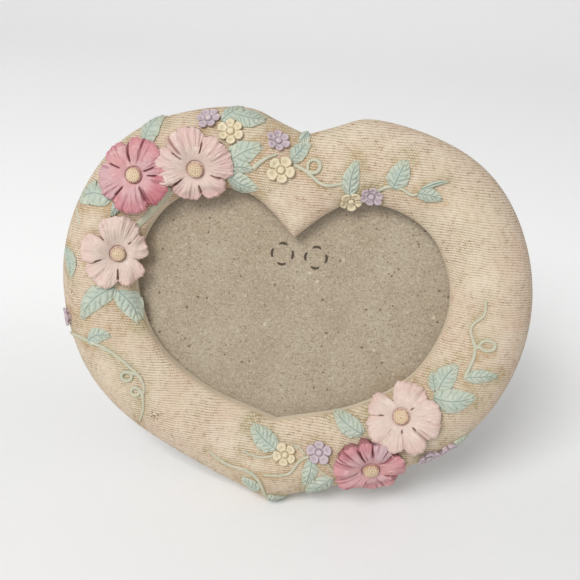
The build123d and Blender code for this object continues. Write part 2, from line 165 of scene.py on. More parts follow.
# Camera, fitted to the outline: lengths in mm from the frame's middle, angles in degrees, the focal
# length and the image's width in pixels, the sensor's width in mm
camera = {"distance": 297.36, "tilt": -9.0, "turn": 7.4, "roll": 5.9, "aside": -0.4, "lipLevel": 8.4,
          "focal": 800.0, "imageWidth": 580.0, "sensor": 36.0}


# Tilt and turn give the way that the camera looks in the frame's own axes, roll the way across its
# picture, and the cross product of both the way up; it stands back from the lip by its distance
def makeCamera():
    tilt, turn, roll = (radians(camera[name]) for name in ("tilt", "turn", "roll"))
    inward = np.array([sin(turn), sin(tilt) * cos(turn), cos(tilt) * cos(turn)])
    across = np.array([cos(roll), sin(roll), 0.0])
    across = across - inward * (across @ inward)
    across /= np.linalg.norm(across)
    upward = -np.cross(inward, across)
    seen = np.stack([across, upward, -inward])  # rows: the frame's u, v and w in right, down, forward
    spot = np.array([-camera["aside"], 0.0, camera["lipLevel"]]) - seen @ np.array([0, 0, camera["distance"]])
    worldAxes = np.stack([rightWay, upWay, faceWay]).T @ seen
    turned = Matrix((worldAxes @ np.diag([1.0, -1.0, -1.0])).tolist())
    data = bpy.data.cameras.new("view")
    data.sensor_width = camera["sensor"]
    data.lens = camera["focal"] / camera["imageWidth"] * camera["sensor"]
    data.clip_start, data.clip_end = 0.01, 20
    made = addObject("view", data)
    made.matrix_world = Matrix.Translation(Vector(worldPlace(spot).tolist())) @ turned.to_4x4()
    bpy.context.scene.camera = made


makeCamera()
print("camera set")

# Heart ring: sizes in mm from the middle between the widest points of the opening
heart = {
    "lobeCentre": 28.0, "fanAngles": (90, 60, 30, 0, -30, -60, -90),
    "opening": {"halfWidth": 59.0, "lobeTop": 35.0, "notch": 19.5, "shoulder": 31.8, "belly": 41.7,
                "lowShoulder": 46.6, "tip": 50.6, "pulls": {-30: 0.952, -60: 0.916}},
    "outer": {"halfWidth": 88.6, "lobeTop": 64.5, "notch": 57.0, "shoulder": 62.3, "belly": 73.3,
              "lowShoulder": 78.6, "tip": 84.0, "pulls": {-30: 0.988, -60: 0.948}},
    "rebateSpreads": {"halfWidth": 1.0, "lobeTop": 1.0, "notch": 1.7, "shoulder": 1.1, "belly": 1.05,
                      "lowShoulder": 1.05, "tip": 1.05},
    "lip": 9.0, "crown": 16.0, "edge": 5.0, "valley": 1.6, "lipOverlap": 5.0, "rebateDepth": 5.4,
    "innerFlank": (0.20, 0.70), "crownShare": 0.50, "outerFlank": (0.82, 0.74), "spring": 0.40,
    "faceSamples": 91, "halfRows": 300, "edgeRound": 0.5, "unevenness": 0.16, "sharpAngle": 40,
}


# Half outline of a heart: notch, shoulder, a fan round the lobe on an ellipse, low shoulder and tip
def heartStations(sizes):
    rows = [(0.0, sizes["notch"]), (heart["lobeCentre"] / 2, sizes["shoulder"])]
    for angle in heart["fanAngles"]:
        way = np.array([cos(radians(angle)), sin(radians(angle))])
        reach = way / [sizes["halfWidth"] - heart["lobeCentre"], sizes["lobeTop" if angle >= 0 else "belly"]]
        rows.append(way * sizes["pulls"].get(angle, 1.0) / np.linalg.norm(reach) + [heart["lobeCentre"], 0.0])
    return np.array(rows + [(heart["lobeCentre"] / 2, -sizes["lowShoulder"]), (0.0, -sizes["tip"])])


openingRow, outerRow = heartStations(heart["opening"]), heartStations(heart["outer"])
spread = {name: heart["opening"][name] + heart["lipOverlap"] * share
          for name, share in heart["rebateSpreads"].items()}
rebateRow = heartStations({**spread, "pulls": heart["opening"]["pulls"]})
stations = np.arange(len(openingRow), dtype=float)


# Domed face at every station: a curve from the lip over the crown to the outer edge, sampled at
# shares of its chords; before 0 and past 1 it runs on, down into the opening and down the side
def faceProfiles(shares):
    profiles = []
    for station, (start, end) in enumerate(zip(openingRow, outerRow)):
        width = np.linalg.norm(end - start)
        crown = heart["crown"] - (heart["valley"] if station == 0 else 0.0)
        inner, outer = heart["innerFlank"], heart["outerFlank"]
        points = np.array([
            (0.0, heart["lip"]),
            (width * inner[0], heart["lip"] + (crown - heart["lip"]) * inner[1]),
            (width * heart["crownShare"], crown),
            (width * outer[0], heart["edge"] + (crown - heart["edge"]) * outer[1]),
            (width, heart["edge"]),
        ])
        chords = np.append(0.0, np.cumsum(np.linalg.norm(np.diff(points, axis=0), axis=1)))
        spring = np.array([heart["spring"], 1.0]) / np.hypot(heart["spring"], 1.0)
        at = np.clip(shares, 0.0, 1.0) * chords[-1]
        curve = curveThrough(chords, points, at, ends=(spring, np.array([0.0, -1.0])))
        over, under = np.maximum(shares - 1, 0.0) * width, np.maximum(-shares, 0.0) * width
        curve = curve + np.stack([over - under, -2.5 * over - 0.3 * under], axis=-1)
        plane = start + curve[:, :1] * (end - start) / width
        profiles.append(np.hstack([plane, curve[:, 1:]]))
    return np.array(profiles)


# Grid of the face's heights, lengths in mm
field = {"cell": 0.5, "reach": 100.0, "rows": 1000, "samples": 230, "shares": (-0.35, 1.25),
         "outside": -4.0, "passes": 2}


# Height of the face over the frame's plane: the mean of the dense samples that fall in each cell, those
# of the right half and their mirror images, then smoothed with the four cells beside it
def makeField():
    shares = np.linspace(*field["shares"], field["samples"])
    face = curveThrough(stations, faceProfiles(shares), np.linspace(0, stations[-1], field["rows"]))
    size = int(2 * field["reach"] / field["cell"]) + 1
    total, count = np.zeros(size * size), np.zeros(size * size)
    for way in (1.0, -1.0):
        spots = np.round((face[..., :2] * [way, 1.0] + field["reach"]) / field["cell"]).astype(int)
        spots = np.clip(spots, 0, size - 1).reshape(-1, 2)
        keep = (face[..., 0].reshape(-1) > -0.3)
        index = (spots[:, 0] * size + spots[:, 1])[keep]
        np.add.at(total, index, face[..., 2].reshape(-1)[keep])
        np.add.at(count, index, 1.0)
    heights = np.where(count > 0, total / np.maximum(count, 1), field["outside"]).reshape(size, size)
    for _ in range(field["passes"]):
        heights = (heights + np.roll(heights, 1, 0) + np.roll(heights, -1, 0)
                   + np.roll(heights, 1, 1) + np.roll(heights, -1, 1)) / 5
    return heights


faceHeights = makeField()


# Height of the face at places in the frame's plane: the four grid values round each, blended
def faceLevel(u, v):
    limit = faceHeights.shape[0] - 1.001
    x = np.clip((u + field["reach"]) / field["cell"], 0, limit)
    y = np.clip((v + field["reach"]) / field["cell"], 0, limit)
    column, row = x.astype(int), y.astype(int)
    x, y = x - column, y - row
    return ((1 - x) * (1 - y) * faceHeights[column, row] + x * (1 - y) * faceHeights[column + 1, row]
            + (1 - x) * y * faceHeights[column, row + 1] + x * y * faceHeights[column + 1, row + 1])


# Outward normal of the face: minus the slopes of its height over a short reach
def faceNormal(u, v, reach=1.0):
    slopeU = (faceLevel(u + reach, v) - faceLevel(u - reach, v)) / (2 * reach)
    slopeV = (faceLevel(u, v + reach) - faceLevel(u, v - reach)) / (2 * reach)
    normal = np.stack([-slopeU, -slopeV, np.ones_like(slopeU)], axis=-1)
    return normal / np.linalg.norm(normal, axis=-1, keepdims=True)


print("face worked out")

# Places of the ornaments on the frame's plane, in mm. A cut is (angle, start, end) in degrees and shares
# of the radius, where one petal ends and the next begins. Tints, from cool at -1 to deep at 1, and
# lengths, in radii, go petal by petal from the lowest cut; scallop is how far a petal's corners fall back
largeFlowers = {
    "rose_upper": {
        "spot": (-59.6, 36.4), "radius": 12.8, "hub": 3.0, "creases": 70, "creaseDepth": 0.34,
        "creaseWidth": 0.42, "ruffle": 0.46, "crinkle": 0.050, "seed": 3, "wash": "rose", "droop": 0.55,
        "cuts": ((110, 0.42, 0.90), (160, 0.46, 0.78), (233, 0.48, 0.78), (300, 0.38, 0.82),
                 (3, 0.42, 0.74), (24, 0.32, 0.68)),
        "tints": (0.3, 0.3, 0.0, -0.6, 0.4, 0.8), "lengths": (0.98, 1.07, 1.04, 1.04, 1.10, 1.04),
        "scallop": 0.07,
    },
    "pink_upper": {
        "spot": (-37.4, 41.0), "radius": 13.4, "hub": 3.1, "creases": 56, "creaseDepth": 0.24,
        "creaseWidth": 0.60, "ruffle": 0.62, "crinkle": 0.042, "seed": 8, "wash": "pink", "droop": 0.60,
        "cuts": ((145, 0.48, 0.76), (76, 0.50, 0.80), (-16, 0.47, 0.80), (-78, 0.50, 0.86),
                 (-142, 0.50, 0.84)),
        "tints": (0.0, -0.3, 0.2, 0.4, 0.0), "lengths": (1.13, 1.09, 0.92, 0.95, 1.07), "scallop": 0.11,
    },
    "pink_left": {
        "spot": (-64.6, 6.8), "radius": 12.8, "hub": 2.9, "creases": 50, "creaseDepth": 0.14,
        "creaseWidth": 0.62, "ruffle": 0.52, "crinkle": 0.042, "seed": 21, "wash": "pale", "droop": 0.62,
        "cuts": ((46, 0.44, 0.54), (136, 0.66, 1.12), (200, 0.54, 0.74), (271, 0.48, 0.84),
                 (-16, 0.84, 1.08)),
        "tints": (-0.4, 0.0, 0.1, 0.4, 0.1), "lengths": (1.12, 1.06, 1.07, 0.97, 0.87), "scallop": 0.13,
    },
    "pink_lower": {
        "spot": (46.8, -40.5), "radius": 14.2, "hub": 3.1, "creases": 50, "creaseDepth": 0.21,
        "creaseWidth": 0.62, "ruffle": 0.66, "crinkle": 0.042, "seed": 14, "wash": "pale", "droop": 0.60,
        "cuts": ((124, 0.56, 1.32), (184, 0.48, 0.60), (280, 0.36, 0.44), (-36, 0.42, 0.52),
                 (42, 0.32, 0.40)),
        "tints": (0.2, 0.0, 0.0, 0.2, -0.2), "lengths": (0.92, 0.90, 0.96, 1.02, 1.02), "scallop": 0.10,
    },
    "rose_lower": {
        "spot": (37.9, -62.2), "radius": 12.6, "hub": 3.3, "creases": 90, "creaseDepth": 0.34,
        "creaseWidth": 0.36, "ruffle": 0.40, "crinkle": 0.050, "seed": 30, "wash": "rose", "droop": 0.46,
        "cuts": ((118, 0.38, 0.90), (90, 0.62, 0.80), (48, 0.38, 0.92), (194, 0.38, 0.94),
                 (257, 0.50, 0.88), (-24, 0.46, 0.64)),
        "tints": (-1.0, 0.3, 0.0, 0.1, -0.1, 0.2), "lengths": (1.06, 1.10, 1.13, 1.14, 1.12, 1.04),
        "scallop": 0.06,
    },
}
smallFlowers = {
    "1": {"spot": (-34.6, 58.9), "radius": 4.5, "petals": 6, "start": 62, "wash": "lilac"},
    "2": {"spot": (-25.7, 55.3), "radius": 4.9, "petals": 6, "start": 40, "wash": "yellow"},
    "3": {"spot": (-8.7, 53.6), "radius": 4.4, "petals": 6, "start": 44, "wash": "lilac"},
    "4": {"spot": (-6.4, 43.6), "radius": 5.0, "petals": 5, "start": 66, "wash": "yellow"},
    "5": {"spot": (19.2, 35.4), "radius": 4.3, "petals": 5, "start": 60, "wash": "yellow"},
    "6": {"spot": (26.4, 38.0), "radius": 4.3, "petals": 6, "start": 82, "wash": "lilac"},
    "7": {"spot": (5.8, -61.2), "radius": 4.5, "petals": 5, "start": 50, "wash": "yellow"},
    "8": {"spot": (18.4, -58.3), "radius": 4.7, "petals": 5, "start": 96, "wash": "lilac"},
    "9": {"spot": (58.6, -55.9), "radius": 4.6, "petals": 6, "start": 90, "wash": "lilac"},
    "10": {"spot": (65.2, -52.2), "radius": 4.0, "petals": 5, "start": 60, "wash": "lilac"},
    "11": {"spot": (-84.0, -20.6), "radius": 4.0, "petals": 5, "start": 30, "wash": "lilac"},
}

# Leaves: base, tip and width in mm, then lobes down each side and the sideways bow of the midrib
sprigs = {
    "upper_left": (((-57.0, 48.0), (-53.0, 58.6), 8.6, 3, 0.10),),
    "upper_middle": (((-26.2, 44.0), (-13.9, 51.2), 9.0, 4, 0.06),
                     ((-26.0, 42.4), (-16.2, 42.6), 5.4, 3, 0.10),
                     ((-26.0, 40.7), (-14.6, 36.2), 7.6, 4, -0.08)),
    "top": (((-29.8, 58.2), (-23.0, 64.0), 6.4, 3, 0.05), ((-25.2, 61.2), (-14.4, 60.4), 6.6, 4, -0.05)),
    "notch": (((-3.4, 46.9), (2.6, 54.2), 6.4, 4, 0.04), ((1.6, 57.6), (-1.6, 53.9), 4.6, 3, 0.0)),
    "left": (((-67.6, 27.2), (-81.9, 24.0), 9.4, 3, -0.16), ((-64.6, 27.8), (-67.4, 20.2), 3.6, 3, 0.05),
             ((-85.6, 6.8), (-82.0, -4.4), 5.6, 5, 0.12)),
    "below_left": (((-64.6, -5.6), (-76.4, -19.4), 8.8, 4, -0.10),
                   ((-64.0, -7.0), (-55.6, -18.8), 8.4, 4, 0.08)),
    "vine_left": (((-73.8, -28.2), (-64.4, -24.4), 6.4, 3, 0.16),),
    "vine_upper": (((18.6, 36.4), (20.2, 49.8), 6.4, 4, 0.06), ((33.4, 41.0), (37.0, 51.6), 8.2, 4, 0.0),
                   ((42.2, 40.8), (50.8, 39.5), 5.4, 3, 0.05), ((42.9, 41.9), (52.4, 45.7), 1.9, 1, 0.06)),
    "right": (((56.8, -31.8), (71.6, -29.2), 9.8, 4, -0.08), ((58.6, -29.0), (64.0, -18.6), 7.8, 4, 0.06),
              ((57.8, -29.6), (56.0, -22.6), 4.8, 3, 0.0), ((66.8, -22.6), (78.6, -21.0), 5.4, 4, 0.04),
              ((66.8, -52.4), (72.4, -46.4), 4.6, 3, 0.0)),
    "lower_middle": (((34.0, -49.2), (22.2, -43.6), 7.8, 4, 0.05),
                     ((2.9, -60.2), (-8.2, -52.2), 8.0, 5, 0.05)),
    "bottom": (((16.2, -61.0), (14.0, -73.4), 6.0, 3, 0.04), ((24.3, -68.0), (14.8, -79.6), 8.0, 3, -0.06)),
    "tip": (((-2.3, -77.6), (-10.0, -73.2), 5.6, 3, 0.05), ((-0.4, -80.8), (7.0, -81.6), 4.6, 4, -0.10)),
}

# Stems: points down the middle, then the half width at the start and at the end; curls: points on
# the stem, the loop's middle, its half lengths, the angle where it starts, its turns, and its end
stems = {
    "upper": {
        "runs": (
            (((-2.6, 46.0), (2.1, 44.3), (5.9, 41.8), (8.8, 40.2), (11.8, 40.1), (15.3, 41.2), (18.4, 41.9)),
             0.62, 0.42),
            (((28.0, 39.4), (31.4, 41.7), (33.9, 42.0), (37.4, 41.3), (40.4, 39.9), (42.6, 40.6)),
             0.52, 0.44),
            (((33.0, 41.9), (34.2, 42.4), (35.6, 42.3), (37.2, 41.4)), 0.4, 0.4),
            (((-16.4, 43.2), (-13.4, 46.2), (-11.1, 47.8), (-8.2, 48.9)), 0.8, 0.35),
        ),
        "curls": ((((1.6, 44.6), (3.0, 44.0)), (5.1, 46.2), (2.4, 2.3), -100, 0.84, ((2.6, 44.0),)),),
    },
    "right": {
        "runs": (
            (((67.0, -23.4), (67.9, -20.0), (69.1, -15.7), (69.3, -12.0), (68.1, -8.3), (67.0, -5.2),
              (68.3, -2.1), (70.7, 0.5), (70.9, 3.8), (70.5, 6.8)), 0.62, 0.38),
        ),
        "curls": ((((68.2, -8.4), (69.8, -10.8)), (73.4, -9.9), (2.7, 1.9), 215, 0.86, ((69.2, -12.2),)),),
    },
    "left": {
        "runs": (
            (((-84.6, -27.6), (-79.2, -26.8), (-73.7, -27.6), (-67.3, -29.2), (-61.4, -32.1),
              (-55.7, -36.1), (-52.0, -39.2), (-50.3, -42.4), (-50.3, -46.1), (-50.0, -50.5),
              (-52.6, -58.6)), 0.62, 0.36),
        ),
        "curls": ((((-50.8, -41.4), (-52.9, -38.4)), (-57.2, -39.3), (2.1, 1.75), 70, 0.98, ()),
                  (((-50.2, -47.2), (-51.0, -44.6)), (-53.4, -44.7), (1.65, 1.6), 55, 0.98, ())),
    },
    "bottom": {
        "runs": (
            (((-23.2, -64.0), (-18.0, -67.6), (-14.0, -68.9), (-11.2, -69.2), (-7.6, -69.9),
              (-4.5, -71.8), (-2.4, -74.6), (-0.9, -79.0), (0.6, -82.4)), 0.40, 0.66),
            (((-10.4, -61.9), (-6.2, -63.2), (-1.8, -63.3), (2.2, -61.9)), 0.30, 0.52),
        ),
        "curls": (),
    },
    "spray": {
        "runs": (
            (((-1.7, -70.2), (4.6, -69.6), (8.2, -68.0), (10.2, -64.9), (11.8, -62.3), (15.4, -60.2)),
             0.34, 0.52),
            (((8.0, -57.3), (10.0, -57.6), (11.9, -58.7), (13.6, -60.2)), 0.36, 0.36),
            (((17.4, -63.6), (20.6, -66.4), (24.8, -68.6)), 0.34, 0.4),
            (((21.6, -61.6), (24.0, -64.6), (26.4, -66.6)), 0.32, 0.32),
        ),
        "curls": (),
    },
}

# Flat bands of putty smoothed onto the linen: points down the middle, then the half widths at the ends
bands = (
    (((-46.2, 33.2), (-50.4, 27.8), (-53.8, 23.0), (-56.8, 19.4), (-59.6, 16.6)), 1.7, 1.0),
    (((-83.6, 21.6), (-80.6, 16.9), (-78.3, 12.6)), 0.9, 0.5),
)


# Petal forms shared by the large flowers: heights in mm, places and waves of the rim as shares of the
# radius, and the crinkles' counts and how far they lean
petalForm = {
    "around": 480, "out": 92, "foot": 0.85, "climb": 1.9, "climbFrom": 0.24, "climbOver": 0.46,
    "fall": 0.75, "fallFrom": 0.70, "bulge": 0.50, "lap": 0.42, "slit": 1.3, "seam": 0.22, "seamWidth": 0.34,
    "rolledRim": 0.24, "rimPlace": 0.92, "hubRing": 0.60, "ringWidth": 0.22, "edgeDrop": 0.30,
    "rimWaves": ((23, 0.010), (37, 0.010), (9, 0.012)), "ruffles": ((9, 1.0), (14, 0.7), (21, 0.4)),
    "crinkles": ((41, 9.0), (58, -7.0), (73, 12.0), (97, -15.0)), "notch": 0.045, "deepNotch": 0.10,
}


# Value plus sine waves round a flower; a wave has a count and a size
def addWaves(value, waves, angle, starts):
    return sum((size * np.sin(count * angle + start) for (count, size), start in zip(waves, starts)), value)


# Petal height and outline over angle and share of radius: a dish that climbs from the hub and rolls
# over at the rim, a bulge across each petal, one side lapped over the next, slits at the cuts, creases,
# which are bell shaped grooves along bent rays, and a fine crinkle of four bent sine waves
def petalRings(flower):
    form = petalForm
    draws = np.random.default_rng(flower["seed"])
    radius, hub = flower["radius"], flower["hub"]
    angle, reach = polarGrid(form["around"], form["out"], 0.03)
    cuts = np.array(sorted((radians(cut[0]) % (2 * pi), cut[1], cut[2]) for cut in flower["cuts"]))
    lows = np.append(cuts[:, 0], cuts[0, 0] + 2 * pi)
    turned = np.where(angle < lows[0], angle + 2 * pi, angle)
    petal = np.minimum(np.searchsorted(lows, turned[0], side="right"), len(cuts)) - 1
    wide = (lows[petal + 1] - lows[petal])[None, :]
    side = 2 * (turned - lows[petal]) / wide - 1
    lift, phase = draws.uniform(0, 1, len(cuts)), draws.uniform(0, 2 * pi, 12)
    lengths = np.array(flower["lengths"])
    beside = np.where(side[0] < 0, lengths[petal - 1], lengths[(petal + 1) % len(cuts)])
    joined = (beside + lengths[petal]) / 2
    rim = lengths[petal] + (joined - lengths[petal]) * side ** 2 - flower["scallop"] * side ** 4
    rim = addWaves(rim, form["rimWaves"], angle, phase[:3])
    height, grooveShade = np.zeros_like(reach * angle), np.zeros_like(reach * angle)
    for cut, start, end in cuts:
        away = (angle - cut + pi) % (2 * pi) - pi
        past = max(end - 1, 0.0)
        notch = form["notch"] + form["deepNotch"] * smoothStep(end, 0.7, 1.0) + past
        rim = rim - notch * bell(away, radians(7.0 + 14.0 * past))
        along = window(reach, start - 0.06, start + 0.03, end - 0.05, end + 0.05)
        across = bell(reach * radius * np.sin(away), 0.26 + 0.34 * (reach - start))
        slit = np.where(np.abs(away) < 1.2, across, 0.0) * along
        height -= form["slit"] * slit
        grooveShade = np.maximum(grooveShade, slit)
    climb = np.sin(pi / 2 * np.clip((reach - form["climbFrom"]) / form["climbOver"], 0, 1))
    fall = np.clip((reach - form["fallFrom"]) / (1 - form["fallFrom"]), 0, 1) ** 2
    height += form["foot"] + form["climb"] * climb - form["fall"] * fall
    spread = smoothStep(reach, 0.30, 0.80)
    bulge = form["bulge"] * (1 - side ** 2) * np.minimum(wide / 1.2, 1.3)
    height += (bulge + form["lap"] * side * (1 + lift[petal])) * spread
    seam = bell((1 + side) * wide / 2 * reach * radius, form["seamWidth"]) * smoothStep(reach, 0.50, 0.72)
    height -= form["seam"] * seam
    crease = np.zeros_like(height)
    for ray in draws.uniform(0, 2 * pi, flower["creases"]):
        start, depth, bend, width = draws.uniform([0.28, 0.25, -0.16, 0.6], [0.74, 1.0, 0.16, 1.3])
        away = (angle - ray - bend * (reach - 0.5) + pi) % (2 * pi) - pi
        along = smoothStep(reach, start - 0.1, start + 0.12)
        wideness = flower["creaseWidth"] * width * (0.5 + 0.6 * reach)
        crease += depth * bell(reach * radius * away, wideness) * along
    height -= flower["creaseDepth"] * crease * (0.45 + 0.75 * reach)
    crinkle = 0
    for (count, bend), start in zip(form["crinkles"], phase[6:10]):
        sway = 2.0 * np.sin(5 * angle + 7 * reach + start)
        crinkle = crinkle + np.sin(count * angle + bend * reach + start + sway)
    height += flower["crinkle"] * crinkle * smoothStep(reach, 0.30, 0.55)
    rolled = bell(reach - form["rimPlace"], 0.045) * (0.6 + 0.4 * np.sin(7 * angle + phase[10]))
    height += form["rolledRim"] * rolled
    waves = addWaves(0, form["ruffles"], angle, phase[3:6])
    height += flower["ruffle"] * reach ** 2.2 * smoothStep(reach, 0.35, 0.75) * waves / 1.6
    ring = bell(reach * radius - hub, form["ringWidth"])
    height -= form["hubRing"] * ring + form["edgeDrop"] * smoothStep(reach, 0.94, 1.0)
    # Painted shade: darker in the slits, the hub's ring, the creases and the seams and in the crinkle's
    # troughs, lighter on its crests
    shade = min(1.6 * flower["creaseDepth"], 0.42)
    grooveShade = np.maximum(grooveShade, ring * 0.5) + shade * crease + 0.50 * seam - 0.04 * crinkle
    tints = np.array(flower["tints"])[petal]
    across = reach * radius * (1 + (rim - 1) * reach ** 2)
    return angle, reach, across, height, np.clip(grooveShade, 0, 1.4), tints[None, :] * spread


# Under a flower's rim, in mm: inset and depth of the rings that turn its edge in, then the foot on the
# face and the floor, whose rings are shares of the rim; fall is how far the face may drop or rise
skirt = {
    "turnedEdge": ((0.10, 0.18), (0.28, 0.40), (0.55, 0.62)), "inset": 0.9, "depth": 0.8, "thickness": 0.5,
    "foot": 0.05, "floor": -0.25, "floorInset": 0.5, "floorShares": (0.90, 0.6, 0.3), "fall": (-7.0, 1.0),
}


# Rings of a flower: the petals' upper side, an undercut skirt down to the face, and a floor;
# they stand on the plane that touches the face, and droop by a share of how far it falls away
def flowerShell(flower, shape):
    angle, reach, across, height, grooveShade, tint = shape
    spotU, spotV = (np.array(value) for value in flower["spot"])
    base = np.array([spotU, spotV, faceLevel(spotU, spotV)])
    normal = faceNormal(spotU, spotV, 3.0)
    sideways = np.array([1.0, 0.0, 0.0]) - normal * normal[0]
    sideways /= np.linalg.norm(sideways)
    upward = np.cross(normal, sideways)

    # Points at distances along the angles, raised to a level; a floor keeps them under the petals
    def raised(distance, level, floor=None):
        flat = base + (distance * np.cos(angle))[..., None] * sideways
        flat = flat + (distance * np.sin(angle))[..., None] * upward
        drop = (faceLevel(flat[..., 0], flat[..., 1]) - flat[..., 2]) * normal[2]
        drop = np.clip(drop, *skirt["fall"])
        lifted = drop * flower["droop"] + level
        if floor is not None:
            lifted = np.minimum(lifted - skirt["thickness"], drop + floor)
        return flat + lifted[..., None] * normal

    edge, top = across[-1:], height[-1:]
    rings = [raised(across, height)]
    rings += [raised(edge - inset, top - sunk) for inset, sunk in skirt["turnedEdge"]]
    rings += [raised(edge - skirt["inset"], top - skirt["depth"], skirt["foot"])]
    rings += [raised(edge * share - skirt["floorInset"], top - skirt["depth"], skirt["floor"])
              for share in skirt["floorShares"]]
    rings = np.concatenate(rings)
    extra = len(rings) - len(across)
    marks = {
        "grooveShade": np.vstack([grooveShade, np.repeat(grooveShade[-1:], extra, axis=0)]),
        "reach": np.vstack([reach + 0 * angle, np.ones((extra, angle.shape[1]))]),
        "tint": np.vstack([tint, np.repeat(tint[-1:], extra, axis=0)]),
    }
    return shellMesh(rings, marks=marks)


# Domed centre: a cap of a sphere on a short rim, roughened by grains set out on a sunflower spiral,
# each a small round bump
def centreShell(flower):
    grid = {"around": 120, "out": 52, "grains": 58, "grain": 0.40, "bump": 0.40, "gap": 0.22, "rim": 1.45,
            "dome": 0.85, "edgeFall": 0.5}
    angle, reach = polarGrid(grid["around"], grid["out"], 0.02)
    radius = flower["hub"] - grid["gap"]
    number = np.arange(grid["grains"]) + 0.5
    away, turn = np.sqrt(number / grid["grains"]) * radius, number * pi * (3 - 5 ** 0.5)
    spots = np.stack([away * np.cos(turn), away * np.sin(turn)], axis=-1)
    flat = np.stack([reach * radius * np.cos(angle), reach * radius * np.sin(angle)], axis=-1)
    gap = np.linalg.norm(flat[:, :, None, :] - spots, axis=-1).min(axis=-1)
    grains = np.sqrt(np.maximum(1 - (gap / grid["grain"]) ** 2, 0.0))
    dome = np.sqrt(np.maximum(1 - (0.93 * reach) ** 2, 0.0))
    height = grid["rim"] + grid["dome"] * dome + grid["bump"] * grains
    height -= grid["edgeFall"] * smoothStep(reach, 0.90, 1.0)
    # Painted shade between the grains, where the centre is low
    shape = (angle, reach, reach * radius + 0 * angle, height, 1 - grains, 0 * height)
    return flowerShell({**flower, "droop": 0.0}, shape)


# Small flower: round lobes whose edge is a root of a cosine, each hollowed like a spoon behind a
# raised rim, with a groove between two lobes and a domed middle in a ring
def smallFlowerShell(seed, flower):
    grid = {"around": 168, "out": 44, "foot": 0.75, "climb": 0.75, "cup": 0.48, "gap": 0.50, "ring": 0.35,
            "middle": 0.30, "dome": 0.75, "edgeFall": 0.28, "unevenness": 0.10, "droop": 0.80}
    angle, reach = polarGrid(grid["around"], grid["out"], 0.04)
    draws = np.random.default_rng(seed)
    count, start = flower["petals"], radians(flower["start"])
    petal = np.round((angle - start) * count / (2 * pi))
    away = (angle - start) - petal * 2 * pi / count
    sizes = draws.uniform(0.90, 1.06, count)[petal.astype(int) % count]
    side = away * count / pi
    rim = (0.58 + 0.42 * np.maximum(np.cos(side * pi / 2 * 0.98), 0.0) ** 0.42) * sizes
    cup = bell(reach - 0.64, 0.19) * bell(side, 0.62)
    gap = bell(np.abs(side) - 1, 0.16) * smoothStep(reach, 0.30, 0.55)
    ring = bell(reach - grid["middle"], 0.06)
    height = grid["foot"] + grid["climb"] * smoothStep(reach, 0.25, 0.85) - grid["cup"] * cup
    height = height - grid["gap"] * gap - grid["ring"] * ring
    dome = np.sqrt(np.maximum(1 - (reach / grid["middle"]) ** 2, 0.0))
    height += grid["dome"] * dome - grid["edgeFall"] * smoothStep(reach, 0.93, 1.0)
    height += grid["unevenness"] * draws.uniform(-1, 1, count)[petal.astype(int) % count] * reach
    # Painted shade in the spoons' hollows, in the grooves between lobes and in the ring round the middle
    grooveShade = np.clip(np.maximum(np.maximum(cup * 0.50, gap), ring * 0.8), 0, 1)
    across = reach * flower["radius"] * (1 + (rim - 1) * reach)
    shape = (angle, reach, across, height, grooveShade, 0 * height)
    return flowerShell({**flower, "droop": grid["droop"]}, shape)


# Leaf: rings across a bowed midrib; its half width is a stretched sine with lobes, its upper side a
# pillow with a sunk midrib and side veins that sweep forward, all laid on the face
def leafShell(leaf):
    grid = {"along": 84, "top": 41, "under": 7, "edge": 0.30, "pillow": 1.00, "rib": 0.40, "vein": 0.66,
            "underside": -0.45}
    base, tip, width, lobes, bow = (np.array(value, float) for value in leaf)
    length = np.linalg.norm(tip - base)
    forward = (tip - base) / length
    sideways = np.array([-forward[1], forward[0]])
    along = np.linspace(0.012, 0.988, grid["along"])[:, None]
    top = np.linspace(-1, 1, grid["top"])[None, :]
    under = np.linspace(1, -1, grid["under"] + 2)[None, 1:-1]
    across = np.hstack([top, under])
    saw = (along * lobes + 0.12 * np.sign(across)) % 1.0
    body = np.sin(pi * along ** 0.72) ** 0.72
    saw = saw * (1 - smoothStep(saw, 0.84, 1.0))
    notch = 1 - 0.22 * np.where(lobes > 1, saw ** 2.0, 0.0) * smoothStep(along, 0.12, 0.3)
    half = width / 2 * body * notch
    sweep = along - 0.16 * np.abs(across) ** 1.3
    ahead = length * (along + 0.10 * saw * np.abs(across) * notch)
    aside = bow * length * np.sin(pi * along) + half * across
    reachU, reachV = (base[axis] + forward[axis] * ahead + sideways[axis] * aside for axis in (0, 1))
    rib = bell(half * across, 0.20) * (1 - smoothStep(along, 0.80, 0.97))
    veinPlace = sweep * (lobes + 2.5)
    inside = window(np.abs(across), 0.04, 0.25, 0.80, 1.0)
    vein = (1 - np.abs(np.sin(pi * veinPlace)) ** 0.55) * inside * smoothStep(lobes, 1, 2)
    pillow = np.maximum(1 - np.abs(across) ** 2.4, 0.0) ** 0.7 * np.sin(pi * along ** 0.8) ** 0.4
    ends = window(along, 0.0, 0.10, 0.90, 1.0)
    height = grid["edge"] * (1.4 * ends - 0.4) + grid["pillow"] * pillow
    height = height - grid["rib"] * rib - grid["vein"] * vein
    isTop = (np.arange(across.shape[1]) < grid["top"])[None, :]
    height = np.where(isTop, height, grid["underside"])
    level = faceLevel(reachU, reachV)
    normal = faceNormal(reachU, reachV, 0.8)
    spots = np.stack([reachU, reachV, level], axis=-1) + height[..., None] * normal
    # Painted shade along the sunk midrib and in the valleys of the side veins
    marks = {"grooveShade": np.clip(0.8 * rib + 0.5 * vein, 0, 1) * isTop, "reach": along + 0 * across,
             "tint": np.abs(across) + 0 * along}
    return shellMesh(spots, marks=marks)


stemGrowth = 1.25  # the painted stems are a little fatter than their cores
curlForm = {"samples": 20, "closing": 0.92, "step": 0.2, "halves": (0.60, 0.48), "lift": 0.08}


